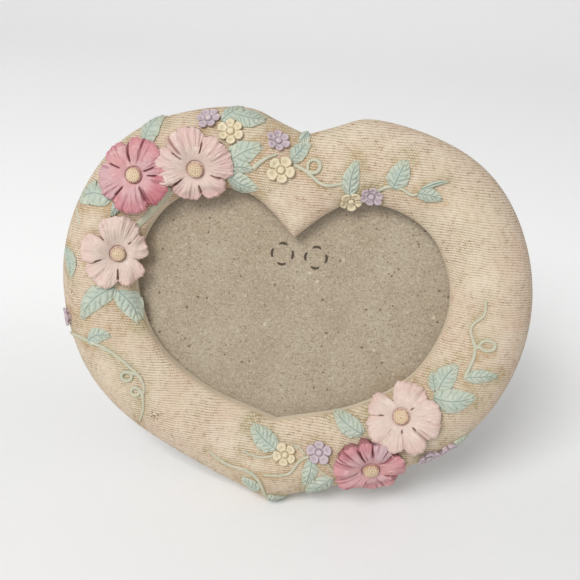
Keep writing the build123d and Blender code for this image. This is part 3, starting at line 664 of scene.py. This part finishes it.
# Tube along a path on the face: rings square to it, whose half width goes evenly from one end's to the
# other's and shrinks to a quarter at the very ends. Rise is height over width; two thirds of the half
# height, less the lift, are sunk in the face
def stemShell(path, halfStart, halfEnd, lift=0.0, rise=0.9):
    around = 12
    share = np.linspace(0, 1, len(path))
    half = (halfStart + (halfEnd - halfStart) * share)[:, None] * stemGrowth
    half = half * (0.25 + 0.75 * window(share, 0.0, 0.04, 0.96, 1.0))[:, None]
    normal = faceNormal(path[:, 0], path[:, 1])
    spine = np.column_stack([path, faceLevel(path[:, 0], path[:, 1])]) + normal * (rise * half / 3 + lift)
    along = np.gradient(spine, axis=0)
    along /= np.linalg.norm(along, axis=1, keepdims=True)
    beside = np.cross(normal, along)
    turn = np.linspace(0, 2 * pi, around, endpoint=False)
    rings = spine[:, None] + half[:, None] * (
        np.cos(turn)[None, :, None] * beside[:, None] + rise * np.sin(turn)[None, :, None] * normal[:, None])
    ones = np.ones(rings.shape[:2])
    # Painted shade on the tube's lower half, where it meets the face
    marks = {"grooveShade": np.clip(-np.sin(turn), 0, 1)[None, :] * ones, "reach": share[:, None] * ones,
             "tint": 0 * ones}
    return shellMesh(rings, marks=marks)


# Smooth path through stem points in even steps, in mm
def smoothPath(points, step=0.33):
    points = np.array(points, float)
    knots = np.append(0.0, np.cumsum(np.linalg.norm(np.diff(points, axis=0), axis=1)))
    return curveThrough(knots, points, np.linspace(0, knots[-1], max(int(knots[-1] / step), 6)))


# Loop of a curl: it leaves the stem, runs round an ellipse that closes in slightly, and may come back
def curlShell(curl):
    roots, spot, halves, start, turns, ends = curl
    turn = radians(start) + np.linspace(0, 2 * pi * turns, curlForm["samples"])
    shrink = np.linspace(1.0, curlForm["closing"], curlForm["samples"])[:, None]
    loop = np.array(spot) + np.array(halves) * shrink * np.stack([np.cos(turn), np.sin(turn)], axis=-1)
    points = np.vstack([np.reshape(roots, (-1, 2)), loop, np.reshape(ends, (-1, 2))])
    return stemShell(smoothPath(points, curlForm["step"]), *curlForm["halves"], lift=curlForm["lift"])


# Closeness of places on the face to the ornaments: 1 on them, falling away as a bell over a margin;
# every ornament is one or more straight bars with round ends
def ornamentNearness(u, v, margin=2.1):
    bars = [(flower["spot"], flower["spot"], flower["radius"] * 0.94)
            for flower in [*largeFlowers.values(), *smallFlowers.values()]]
    bars += [(leaf[0], leaf[1], leaf[2] * 0.36) for sprig in sprigs.values() for leaf in sprig]
    for vine in stems.values():
        for points, halfStart, _ in vine["runs"]:
            bars += [(start, end, halfStart) for start, end in zip(points[:-1], points[1:])]
        bars += [(curl[1], curl[1], max(curl[2])) for curl in vine["curls"]]
    near = np.zeros_like(u)
    for start, end, half in bars:
        start, way = np.array(start), np.array(end) - np.array(start)
        share = ((u - start[0]) * way[0] + (v - start[1]) * way[1]) / max(way @ way, 1e-9)
        share = np.clip(share, 0, 1)
        gap = np.hypot(u - start[0] - share * way[0], v - start[1] - share * way[1]) - half
        near = np.maximum(near, bell(np.maximum(gap, 0), margin))
    return near


# Heart ring as one closed loop of sections: the domed face, the outer side, the flat back, the
# rebate's wall and floor, and the opening's wall; the left half mirrors the right. The face's samples
# lie closer at both ends, at the mean of a cosine's and an even spacing, and swell a little in waves
def heartShell():
    at = np.linspace(0, stations[-1], heart["halfRows"])
    shares = (1 - np.cos(np.linspace(0, pi, heart["faceSamples"]))) / 2 * 0.5 + np.linspace(
        0, 1, heart["faceSamples"]) * 0.5
    face = curveThrough(stations, faceProfiles(shares), at)
    outline = curveThrough(stations, np.stack([openingRow, outerRow, rebateRow], axis=1), at)
    opening, outer, rebate = outline[:, 0], outline[:, 1], outline[:, 2]
    inward = (rebate - outer) / np.linalg.norm(rebate - outer, axis=1, keepdims=True)
    edge, depth, turnIn = heart["edge"], heart["rebateDepth"], heart["edgeRound"]
    corners = [(outer, level) for level in (edge * 0.8, edge * 0.55, edge * 0.3, turnIn)]
    corners += [(outer + inward * turnIn * 0.3, turnIn * 0.3), (outer + inward * turnIn, 0.0)]
    corners += [(outer + (rebate - outer) * share, 0.0) for share in (0.25, 0.5, 0.75, 0.97)]
    corners += [(rebate, level) for level in (0.0, 0.25, depth / 2, depth - 0.25, depth)]
    corners += [(rebate + (opening - rebate) * share, depth) for share in (0.05, 0.5, 0.95, 1.0)]
    corners += [(opening, depth + (heart["lip"] - depth) * share) for share in (0.06, 0.35, 0.65, 0.9)]
    walls = [np.column_stack([spots, np.full(len(spots), level)]) for spots, level in corners]
    half = np.concatenate([face, np.stack(walls, axis=1)], axis=1)
    rings = np.concatenate([half, half[-2:0:-1] * [-1.0, 1.0, 1.0]])
    samples = heart["faceSamples"]
    onFace, share = np.zeros(rings.shape[:2]), np.ones(rings.shape[:2])
    onFace[:, :samples] = 1.0
    share[:, :samples] = shares
    share[:, -5:] = 0.0  # the opening's wall
    u, v = rings[..., 0], rings[..., 1]
    waves = np.sin(u / 7.3 + 1.1) * np.sin(v / 9.1 + 0.4) + 0.5 * np.sin(u / 3.7 + v / 5.9) * np.cos(v / 4.1)
    rings[..., 2] += heart["unevenness"] * waves * onFace * window(share, 0, 0.12, 0.9, 1.0)
    marks = {"rim": share, "near": ornamentNearness(u, v) * onFace, "face": onFace}
    return shellMesh(rings, joined=True, marks=marks)


# Colour as the eye reads it, 0 to 255, turned into the light that it stands for
def colour(red, green, blue):
    parts = np.array([red, green, blue]) / 255
    light = np.where(parts <= 0.04045, parts / 12.92, ((parts + 0.055) / 1.055) ** 2.4)
    return tuple(float(part) for part in light)


# Node tree of one material with short ways to add to it, and the place on the piece that its patterns
# read; an input takes a number, a colour or another node's socket
class Brush:
    def __init__(self, tree):
        self.tree = tree
        self.place = self.add("TexCoord").outputs["Object"]

    def add(self, kind, inputs=None, **settings):
        made = self.tree.nodes.new("ShaderNode" + kind)
        for name, value in settings.items():
            setattr(made, name, value)
        for name, value in (inputs or {}).items():
            if isinstance(value, bpy.types.NodeSocket):
                self.tree.links.new(value, made.inputs[name])
            elif made.inputs[name].type == "RGBA":
                made.inputs[name].default_value = (*value, 1.0)
            else:
                made.inputs[name].default_value = value
        return made

    def math(self, operation, first, second=0.0, clamp=False):
        return self.add("Math", {0: first, 1: second}, operation=operation, use_clamp=clamp).outputs[0]

    def plus(self, first, second):
        return self.math("ADD", first, second)

    # Product of two or more values
    def times(self, first, *others):
        for other in others:
            first = self.math("MULTIPLY", first, other)
        return first

    def vector(self, operation, first, second, output=0):
        second = {"Scale": second} if operation == "SCALE" else {1: second}
        return self.add("VectorMath", {0: first, **second}, operation=operation).outputs[output]

    def mapped(self, at, **inputs):
        return self.add("Mapping", {"Vector": at, **inputs}).outputs[0]

    def split(self, at, part):
        return self.add("SeparateXYZ", {0: at}).outputs[part]

    def noise(self, scale, detail=3.0, roughness=0.5, distortion=0.0, at=None, output="Fac"):
        return self.add("TexNoise", {
            "Vector": self.place if at is None else at, "Scale": scale, "Detail": detail,
            "Roughness": roughness, "Distortion": distortion,
        }).outputs[output]

    # Value from low to high spread smoothly from start to end
    def spread(self, value, low, high, start=0.0, end=1.0):
        return self.add("MapRange", {
            "Value": value, "From Min": low, "From Max": high, "To Min": start, "To Max": end,
        }, interpolation_type="SMOOTHSTEP").outputs["Result"]

    def mix(self, share, first, second):
        return self.add("Mix", {0: share, 6: first, 7: second}, data_type="RGBA").outputs[2]

    def mark(self, name):
        return self.add("Attribute", attribute_name=name).outputs["Fac"]


# Material with a Principled shader; paint gives colour, roughness, height and the height's depth in mm
def makeMaterial(name, paint, **sockets):
    made = bpy.data.materials.new(name)
    made.use_nodes = True
    shader = made.node_tree.nodes["Principled BSDF"]
    for socket, value in sockets.items():
        shader.inputs[socket.replace("_", " ")].default_value = value
    brush = Brush(made.node_tree)
    base, roughness, height, depth = paint(brush)
    bump = brush.add("Bump", {"Height": height, "Distance": depth * mm, "Strength": 1.0}).outputs["Normal"]
    for socket, value in (("Base Color", base), ("Roughness", roughness), ("Normal", bump)):
        brush.tree.links.new(value, shader.inputs[socket])
    return made


# Linen: cords of weft with beads where they cross the warp; a cord's height over its own pitch is the
# root of a sine, and the beads of one row are set half a bead beside those of the next
linen = {
    "rowPitch": 0.90, "beadPitch": 0.98, "wander": 0.9, "wanderScale": 85.0, "rowRoot": 0.5,
    "beadRoot": 0.7, "beadShare": 0.50, "depth": 0.26, "pits": (0.22, 1.0), "beadHighlight": 0.65,
    "yarn": colour(208, 191, 165), "pale": colour(224, 211, 190), "wash": colour(207, 182, 160),
    "pit": colour(128, 98, 66), "ochre": colour(180, 152, 112), "olive": colour(172, 160, 122),
    "smooth": colour(208, 190, 162), "back": colour(214, 202, 182),
    "worn": ((-45.4, -53.4), (-81.6, -9.6)), "wornReach": 4.2, "wornBrown": colour(116, 82, 50),
}


# Height of the weave, 0 in the pits to 1 on the beads, its rows square to the way up the frame
def weaveHeight(brush):
    wander = brush.noise(linen["wanderScale"], 2.0, output="Color")
    shift = brush.vector("SUBTRACT", wander, (0.5, 0.5, 0.5))
    moved = brush.vector("ADD", brush.place, brush.vector("SCALE", shift, linen["wander"] * 2 * mm))
    flat = brush.mapped(moved, Rotation=(leanAngle - pi / 2, 0.0, 0.0))
    row = brush.math("SINE", brush.times(brush.split(flat, "Y"), pi / (linen["rowPitch"] * mm)))
    turn = brush.times(brush.split(flat, "X"), pi / (linen["beadPitch"] * mm))
    turn = brush.plus(turn, brush.times(brush.math("GREATER_THAN", row, 0.0), pi / 2))
    bead = brush.math("POWER", brush.math("ABSOLUTE", brush.math("SINE", turn)), linen["beadRoot"])
    cord = brush.math("POWER", brush.math("ABSOLUTE", row), linen["rowRoot"])
    swell = brush.plus(brush.times(bead, linen["beadShare"]), 1 - linen["beadShare"])
    return brush.times(cord, swell, brush.spread(brush.noise(650.0, 3.0, 0.6), 0.30, 0.62, 0.45, 1.0))


# Yarn with washes and pale clouds, stains beside the ornaments, painted shade in the pits, painted highlights
# on the beads' tops, specks and worn places, each mixed over the last; the relief is the weave and a fine
# grain
def paintLinen(brush):
    rim, near, face = (brush.mark(name) for name in ("rim", "near", "face"))
    woven = weaveHeight(brush)
    inside = brush.times(brush.spread(rim, 0.0, 0.035), brush.spread(rim, 1.0, 0.92))
    weave = brush.times(inside, brush.spread(brush.noise(70.0, 4.0), 0.36, 0.60, 0.70, 1.0), face)
    base = brush.mix(brush.spread(brush.noise(42.0, 4.0, 0.6), 0.34, 0.68), linen["yarn"], linen["wash"])
    base = brush.mix(brush.spread(brush.noise(95.0), 0.45, 0.75, 0.0, 0.6), base, linen["pale"])
    base = brush.mix(brush.times(brush.math("SUBTRACT", 1.0, inside), 0.7), base, linen["smooth"])
    stain = brush.times(near, brush.spread(brush.noise(130.0, 2.0), 0.30, 0.60, 0.15, 0.75))
    stainTone = brush.mix(brush.spread(brush.noise(60.0, 1.0), 0.4, 0.6), linen["ochre"], linen["olive"])
    base = brush.mix(stain, base, stainTone)
    # Painted shade: the pit colour laid in the weave's low places, broken up by noise
    pitShade = brush.spread(brush.noise(420.0, 3.0, 0.6), 0.36, 0.62, *linen["pits"])
    base = brush.mix(brush.times(brush.spread(woven, 0.50, 0.10), weave, pitShade), base, linen["pit"])
    # Painted highlight: the pale colour laid on the tops of the beads
    beadHighlight = brush.times(brush.spread(woven, 0.50, 0.85), brush.times(weave, linen["beadHighlight"]))
    base = brush.mix(beadHighlight, base, linen["pale"])
    base = brush.mix(brush.math("SUBTRACT", 1.0, face), base, linen["back"])
    specks = brush.times(brush.spread(brush.noise(2600.0, 2.0, 0.6), 0.64, 0.72), 0.50)
    base = brush.mix(specks, base, linen["pit"])
    crumbs = brush.spread(brush.noise(1500.0, 2.0, 0.6), 0.53, 0.60)
    for u, v in linen["worn"]:  # two rubbed places, where brown crumbs show through
        spot = worldPlace(np.array([u, v, faceLevel(np.array([u]), np.array([v]))[0]]))
        away = brush.vector("DISTANCE", brush.place, tuple(spot.tolist()), output=1)
        here = brush.math("MULTIPLY", brush.spread(away, linen["wornReach"] * mm, 0.0), 1.1, True)
        base = brush.mix(brush.times(here, crumbs), base, linen["wornBrown"])
    fine = brush.noise(900.0, 4.0, 0.65)
    height = brush.plus(brush.times(woven, weave), brush.times(fine, 0.35))
    return base, brush.spread(fine, 0.2, 0.8, 0.78, 0.92), height, linen["depth"]


# Painted ornaments: the shades of each paint, in the order that paintParts says; the second is the painted
# shade laid in the grooves
paintParts = ("crown", "grooveShade", "rim", "cool", "deep", "dust")
paints = {
    "rose_petals": ((206, 154, 154), (140, 74, 82), (198, 132, 138), (198, 172, 176), (190, 110, 120),
                    (224, 196, 188)),
    "pink_petals": ((214, 188, 178), (152, 112, 104), (212, 176, 172), (208, 192, 182), (206, 164, 160),
                    (230, 214, 202)),
    "pale_petals": ((216, 194, 183), (150, 114, 100), (212, 182, 172), (208, 191, 179), (208, 174, 164),
                    (228, 212, 199)),
    "cream_centres": ((224, 203, 173), (164, 128, 92), (196, 160, 140), (218, 198, 166), (214, 178, 146),
                      (236, 223, 196)),
    "lilac_petals": ((194, 178, 182), (132, 112, 126), (188, 170, 178), (190, 180, 186), (176, 154, 170),
                     (214, 200, 194)),
    "yellow_petals": ((216, 203, 172), (160, 134, 94), (218, 204, 174), (208, 199, 170), (206, 180, 134),
                      (226, 216, 194)),
    "sage_leaves": ((180, 189, 176), (112, 128, 112), (194, 194, 170), (169, 185, 175), (185, 191, 173),
                    (206, 206, 190)),
    "pale_stems": ((194, 189, 166), (140, 122, 92), (190, 187, 163), (176, 184, 166), (190, 186, 160),
                   (212, 200, 180)),
}


# A pale colour on the crowns, painted shade in the grooves and a deeper colour at the rim, a second tint
# petal by petal, and rubbed, slightly dusty patches, each mixed over the last
def makePaint(name):
    shades = {part: colour(*shade) for part, shade in zip(paintParts, paints[name])}

    def paint(brush):
        grooveShade, reach, tint = (brush.mark(name) for name in ("grooveShade", "reach", "tint"))
        cloud, fine = brush.noise(110.0, 3.0, 0.55), brush.noise(1500.0, 3.0, 0.65)
        edge = brush.times(brush.spread(reach, 0.55, 1.0), brush.spread(cloud, 0.3, 0.6, 0.3, 0.8))
        dusty = brush.noise(260.0, 4.0, 0.7)
        base = shades["crown"]
        for share, shade in (
            (brush.spread(cloud, 0.35, 0.65, 0.0, 0.5), "cool"), (edge, "rim"),
            (brush.spread(tint, 0.05, 1.0, 0.0, 0.85), "deep"),
            (brush.spread(tint, -0.05, -1.0, 0.0, 0.85), "cool"),
            (brush.spread(dusty, 0.52, 0.70, 0.0, 0.65), "dust"),
            # painted shade in the grooves, by the groove mark; then fine specks in the same colour
            (brush.spread(grooveShade, 0.10, 0.95, 0.0, 0.85), "grooveShade"),
            (brush.spread(fine, 0.60, 0.74, 0.0, 0.22), "grooveShade"),
        ):
            base = brush.mix(share, base, shades[shade])
        lumps = brush.times(brush.noise(620.0, 4.0, 0.65), 1.6)
        return base, brush.spread(fine, 0.3, 0.7, 0.68, 0.86), brush.plus(fine, lumps), 0.10

    return makeMaterial(name, paint)


# Chipboard: a flake is its cells' scale, reach and tone, its share of the colour and the angle that its
# cells are turned by; plainShare is the share of cells without a flake
chip = {
    "base": colour(172, 157, 136), "warm": colour(164, 147, 125), "dark": colour(92, 68, 46),
    "bright": colour(206, 192, 170), "plainShare": 0.62,
    "flakes": ((260.0, 0.17, "dark", 0.85, 0.5), (620.0, 0.24, "dark", 0.7, 0.9),
               (150.0, 0.13, "bright", 0.8, 0.35), (620.0, 0.22, "bright", 0.7, 1.7)),
}


# Pressed fibres: a plain tone clouded by noise, sparse dark flakes and pale slivers cut from cells near
# their middles, felt streaks and a fine grain
def paintChip(brush):
    base = brush.mix(brush.spread(brush.noise(45.0, 4.0, 0.6), 0.35, 0.65), chip["base"], chip["warm"])
    for scale, reach, tone, share, angle in chip["flakes"]:
        turned = brush.mapped(
            brush.place, Rotation=(angle, angle * 2, angle * 3), Scale=(1.0, angle + 0.4, 1.0))
        cells = brush.add("TexVoronoi", {"Vector": turned, "Scale": scale}).outputs
        pick = brush.add("SeparateColor", {0: cells["Color"]}).outputs["Red"]
        picked = brush.math("GREATER_THAN", pick, chip["plainShare"])
        spot = brush.times(brush.spread(cells["Distance"], reach, reach * 0.6), picked, share)
        base = brush.mix(spot, base, chip[tone])
    felt = brush.mapped(brush.place, Rotation=(0.0, 0.4, 0.0), Scale=(1.0, 1.0, 2.6))
    streaks, fine = brush.noise(520.0, 4.0, 0.7, 1.2, at=felt), brush.noise(1500.0, 4.0, 0.7)
    base = brush.mix(brush.spread(streaks, 0.52, 0.70, 0.0, 0.40), base, chip["dark"])
    base = brush.mix(brush.spread(streaks, 0.46, 0.32, 0.0, 0.45), base, chip["bright"])
    base = brush.mix(brush.spread(fine, 0.50, 0.68, 0.0, 0.50), base, chip["dark"])
    base = brush.mix(brush.spread(fine, 0.47, 0.32, 0.0, 0.50), base, chip["bright"])
    return base, brush.spread(fine, 0.3, 0.7, 0.7, 0.9), fine, 0.05


# Painted slit shadow: the dark shade, with a fibrous grain, in the crescents that the prongs made
slitShadow = {"dark": colour(58, 42, 28), "brown": colour(104, 80, 56)}


def paintSlitShadow(brush):
    fibres = brush.noise(2200.0, 3.0, 0.6)
    base = brush.mix(brush.spread(fibres, 0.45, 0.72), slitShadow["dark"], slitShadow["brown"])
    return base, brush.spread(fibres, 0.3, 0.7, 0.85, 0.95), fibres, 0.05


# Leg board: smooth fibreboard with a faint long grain and paler clouds
legBoard = {"base": colour(150, 118, 84), "dark": colour(112, 84, 58), "pale": colour(178, 148, 112)}


def paintLegBoard(brush):
    grain = brush.noise(900.0, 4.0, 0.6, at=brush.mapped(brush.place, Scale=(1.0, 0.15, 0.08)))
    base = brush.mix(brush.spread(grain, 0.35, 0.65), legBoard["base"], legBoard["dark"])
    base = brush.mix(brush.spread(brush.noise(60.0), 0.45, 0.75, 0.0, 0.5), base, legBoard["pale"])
    fine = brush.noise(2600.0, 2.0, 0.6)
    return base, brush.spread(fine, 0.3, 0.7, 0.5, 0.7), brush.plus(grain, fine), 0.04


# Metals: the plating's colour, its worn and spotted colour, and its range of roughness
metals = {
    "zinc_steel": {"base": (188, 190, 192), "worn": (142, 144, 148), "spot": (116, 104, 92),
                   "rough": (0.30, 0.46)},
    "brassed_steel": {"base": (206, 172, 104), "worn": (164, 128, 72), "spot": (112, 84, 50),
                      "rough": (0.26, 0.42)},
}


# Plated steel: drawn scratches along one way, cloudy wear and a few dull spots
def makeMetal(name):
    metal = metals[name]
    shades = {part: colour(*metal[part]) for part in ("base", "worn", "spot")}

    def paint(brush):
        lines = brush.noise(5200.0, 3.0, 0.6, at=brush.mapped(brush.place, Scale=(0.04, 1.0, 1.0)))
        cloud = brush.noise(240.0, 4.0, 0.6)
        base = brush.mix(brush.spread(cloud, 0.42, 0.68), shades["base"], shades["worn"])
        base = brush.mix(brush.spread(brush.noise(700.0, 2.0), 0.66, 0.74, 0.0, 0.7), base, shades["spot"])
        roughness = brush.spread(lines, 0.3, 0.7, *metal["rough"])
        return base, roughness, brush.plus(lines, cloud), 0.012

    return makeMaterial(name, paint, Metallic=1.0)


# Clear glass with faint wipe marks in its gloss and a few grains of dust
glass = {"clear": colour(250, 252, 250), "dust": colour(214, 208, 196), "index": 1.45}


def paintGlass(brush):
    wipes, dust = brush.noise(60.0, 4.0, 0.6, 1.5), brush.noise(2400.0, 2.0, 0.5)
    base = brush.mix(brush.spread(dust, 0.70, 0.78, 0.0, 0.6), glass["clear"], glass["dust"])
    return base, brush.spread(wipes, 0.4, 0.7, 0.02, 0.07), wipes, 0.001


# Light on its way to the board passes straight through the pane, as it does through thin glass
def makeGlass():
    made = makeMaterial("clear_glass", paintGlass, Transmission_Weight=1.0, IOR=glass["index"])
    brush = Brush(made.node_tree)
    nodes, rays = brush.tree.nodes, brush.add("LightPath").outputs
    passing = brush.math("MAXIMUM", rays["Is Shadow Ray"], rays["Is Diffuse Ray"])
    through = brush.add("BsdfTransparent").outputs[0]
    seen = brush.add("MixShader", {0: passing, 1: nodes["Principled BSDF"].outputs[0], 2: through})
    brush.tree.links.new(seen.outputs[0], nodes["Material Output"].inputs["Surface"])
    return made


materials = {name: makePaint(name) for name in paints}
for name, paint in (("linen_resin", paintLinen), ("chipboard", paintChip), ("slit_shadow", paintSlitShadow),
                    ("leg_board", paintLegBoard)):
    materials[name] = makeMaterial(name, paint)
materials["clear_glass"] = makeGlass()
materials.update({name: makeMetal(name) for name in metals})
print("materials ready")


# One dressed piece that stands in for a solid of the frame and rides with it
def dress(name, shells, material, node, sharpAngle=None):
    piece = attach(makePiece(name, shells, materials[material], sharpAngle), "frame")
    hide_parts(node)


# A piece that has no solid of its own and only rides with the frame
def addTrim(name, shells, material):
    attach(makePiece(name, shells, materials[material]), "frame")


dress("cast_heart", [heartShell()], "linen_resin", "heart_body", sharpAngle=heart["sharpAngle"])
for name, flower in largeFlowers.items():
    petals = flowerShell(flower, petalRings(flower))
    dress("petals_" + name, [petals], flower["wash"] + "_petals", "flower_" + name)
    dress("stamens_" + name, [centreShell(flower)], "cream_centres", "centre_" + name)
for number, flower in smallFlowers.items():
    shell = smallFlowerShell(int(number), flower)
    dress("blossom_" + number, [shell], flower["wash"] + "_petals", "small_flower_" + number)
for name, leaves in sprigs.items():
    dress("sprig_" + name, [leafShell(leaf) for leaf in leaves], "sage_leaves", "leaves_" + name)
for name, vine in stems.items():
    runs = [stemShell(smoothPath(points), *halves) for points, *halves in vine["runs"]]
    loops = [curlShell(curl) for curl in vine["curls"]]
    dress("vine_" + name, runs + loops, "pale_stems", "tendril_" + name)
strips = [stemShell(smoothPath(points), *halves, lift=-0.2, rise=0.26) for points, *halves in bands]
addTrim("putty_bands", strips, "pale_stems")

# Clinch marks: over each prong's slit a dark crescent of painted shadow on the board, a lens along an arc of
# the ring; its half width is a root of one minus the square of the share along it, and its ends bend inwards
clinch = {"rings": ((-4.35, 12.6), (8.35, 12.6)), "count": 4, "radius": 4.15, "halfAngle": 27.0,
          "half": 0.58, "bend": 0.5, "level": 3.37, "proud": 0.045, "along": 28, "around": 12}


def slitShadowShell(spot, aim):
    share = np.linspace(-0.97, 0.97, clinch["along"])[:, None]
    angle = aim + radians(clinch["halfAngle"]) * share
    turn = np.linspace(0, 2 * pi, clinch["around"], endpoint=False)
    half = clinch["half"] * np.sqrt(1 - share ** 2)
    away = clinch["radius"] - clinch["bend"] * share ** 2 + half * np.cos(turn)
    level = clinch["level"] + clinch["proud"] * np.sin(turn) + 0 * away
    return shellMesh(np.stack([
        spot[0] + away * np.cos(angle), spot[1] + away * np.sin(angle), level], axis=-1))


aims = np.arange(clinch["count"]) * 2 * pi / clinch["count"]
addTrim("slit_shadows", [slitShadowShell(spot, aim) for spot in clinch["rings"] for aim in aims],
        "slit_shadow")
print("ornaments placed")

# Solids that keep their shape get their materials here; edges over an angle in degrees stay crisp
keptAngle = 25
kept = {
    "glass_pane": "clear_glass", "back_board": "chipboard", "hinge_plate": "zinc_steel",
    "hinge_leaf": "zinc_steel", "hinge_pin": "zinc_steel", "easel_leg": "leg_board",
    "button_screws": "brassed_steel",
    **{"turn_button_" + corner: "brassed_steel"
       for corner in ("upper_left", "upper_right", "lower_left", "lower_right")},
}
for node, material in kept.items():
    mesh = bpy.data.objects[node].data
    mesh.materials.clear()
    mesh.materials.append(materials[material])
    if mesh.has_custom_normals:
        with bpy.context.temp_override(object=bpy.data.objects[node]):
            bpy.ops.mesh.customdata_custom_splitnormals_clear()
    shadeSmooth(mesh, keptAngle)
print("solids painted")

# The pane again, a hair thinner, so that its faces don't lie in those of the board and the rebate
thinPane = {"hair": 0.03, "middleHeight": 4.4}


def makePane():
    source = bpy.data.objects["glass_pane"].data
    spots = np.zeros(len(source.vertices) * 3, np.float32)
    source.vertices.foreach_get("co", spots)
    spots = spots.reshape(-1, 3)
    height = spots @ faceWay / mm - middle @ faceWay
    spots -= (np.sign(height - thinPane["middleHeight"]) * thinPane["hair"] * mm)[:, None] * faceWay
    mesh = source.copy()
    mesh.name = "clear_pane"
    mesh.vertices.foreach_set("co", spots.astype(np.float32).reshape(-1))
    mesh.update()
    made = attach(addObject("clear_pane", mesh), "frame")
    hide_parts("glass_pane")


makePane()

# Stage, in metres: a pale sweep of floor and wall, a broad light from the upper left front, a dim fill
# and a soft sky; the paper glows a little, more towards the back, where the camera sees it
studio = {
    "floor": colour(238, 238, 238), "shade": colour(235, 235, 234), "lift": 0.20, "liftRows": (-0.01, 0.16),
    "half": 3.0, "start": 0.7, "radius": 0.5, "flat": (-3.0, -1.0), "wall": 3.0, "bendRows": 24,
    "sky": (1.0, 1.0, 1.0), "skyStrength": 0.38, "aim": (0.0, 0.0, 0.08),
    "key": {"spot": (-0.40, -0.80, 1.00), "size": 0.6, "power": 13.0},
    "fill": {"spot": (0.9, -0.6, 0.5), "size": 1.0, "power": 1.4},
}


def paintPaper(brush):
    fine = brush.noise(300.0)
    base = brush.mix(brush.spread(fine, 0.3, 0.7, 0.0, 0.3), studio["floor"], studio["shade"])
    return base, brush.spread(fine, 0.3, 0.7, 0.85, 0.95), fine, 0.02


# Sheet of paper: a flat floor, a quarter of a circle and a wall, carried sideways; it glows only where
# the camera sees it, straight, mirrored or through the glass
def makeSweep():
    turn = np.linspace(0, pi / 2, studio["bendRows"])
    bend = zip(studio["start"] + studio["radius"] * np.sin(turn), studio["radius"] * (1 - np.cos(turn)))
    profile = [*((y, 0.0) for y in studio["flat"]), *bend]
    profile += [(studio["start"] + studio["radius"], studio["wall"])]
    spots = [(side * studio["half"], float(y), float(z)) for y, z in profile for side in (-1, 1)]
    faces = [(2 * row, 2 * row + 1, 2 * row + 3, 2 * row + 2) for row in range(len(profile) - 1)]
    mesh = bpy.data.meshes.new("floor")
    mesh.from_pydata(spots, [], faces)
    shadeSmooth(mesh)
    paper = makeMaterial("floor_paper", paintPaper)
    brush = Brush(paper.node_tree)
    rays, shader = brush.add("LightPath").outputs, paper.node_tree.nodes["Principled BSDF"]
    seen = brush.math("MAXIMUM", rays["Is Camera Ray"], rays["Is Glossy Ray"])
    seen = brush.math("MAXIMUM", seen, rays["Is Transmission Ray"])
    lift = brush.spread(brush.split(brush.place, "Y"), *studio["liftRows"], 0.0, studio["lift"])
    shader.inputs["Emission Color"].default_value = (1.0, 1.0, 1.0, 1.0)
    brush.tree.links.new(brush.times(seen, lift), shader.inputs["Emission Strength"])
    mesh.materials.append(paper)
    return addObject("floor", mesh)


# Square light at its spot, turned to face the place that the stage's lights aim at
def makeLight(name):
    light = studio[name]
    data = bpy.data.lights.new(name, "AREA")
    data.size, data.energy = light["size"], light["power"]
    made, spot = addObject(name, data), Vector(light["spot"])
    turned = (Vector(studio["aim"]) - spot).to_track_quat("-Z", "Y")
    made.matrix_world = Matrix.Translation(spot) @ turned.to_matrix().to_4x4()
    return made


world = bpy.data.worlds.new("sky")
world.use_nodes = True
sky = world.node_tree.nodes["Background"].inputs
sky["Color"].default_value = (*studio["sky"], 1.0)
sky["Strength"].default_value = studio["skyStrength"]
bpy.context.scene.world = world
bpy.context.scene.view_settings.view_transform = "Standard"
makeSweep()
makeLight("key")
makeLight("fill")
print("stage set")
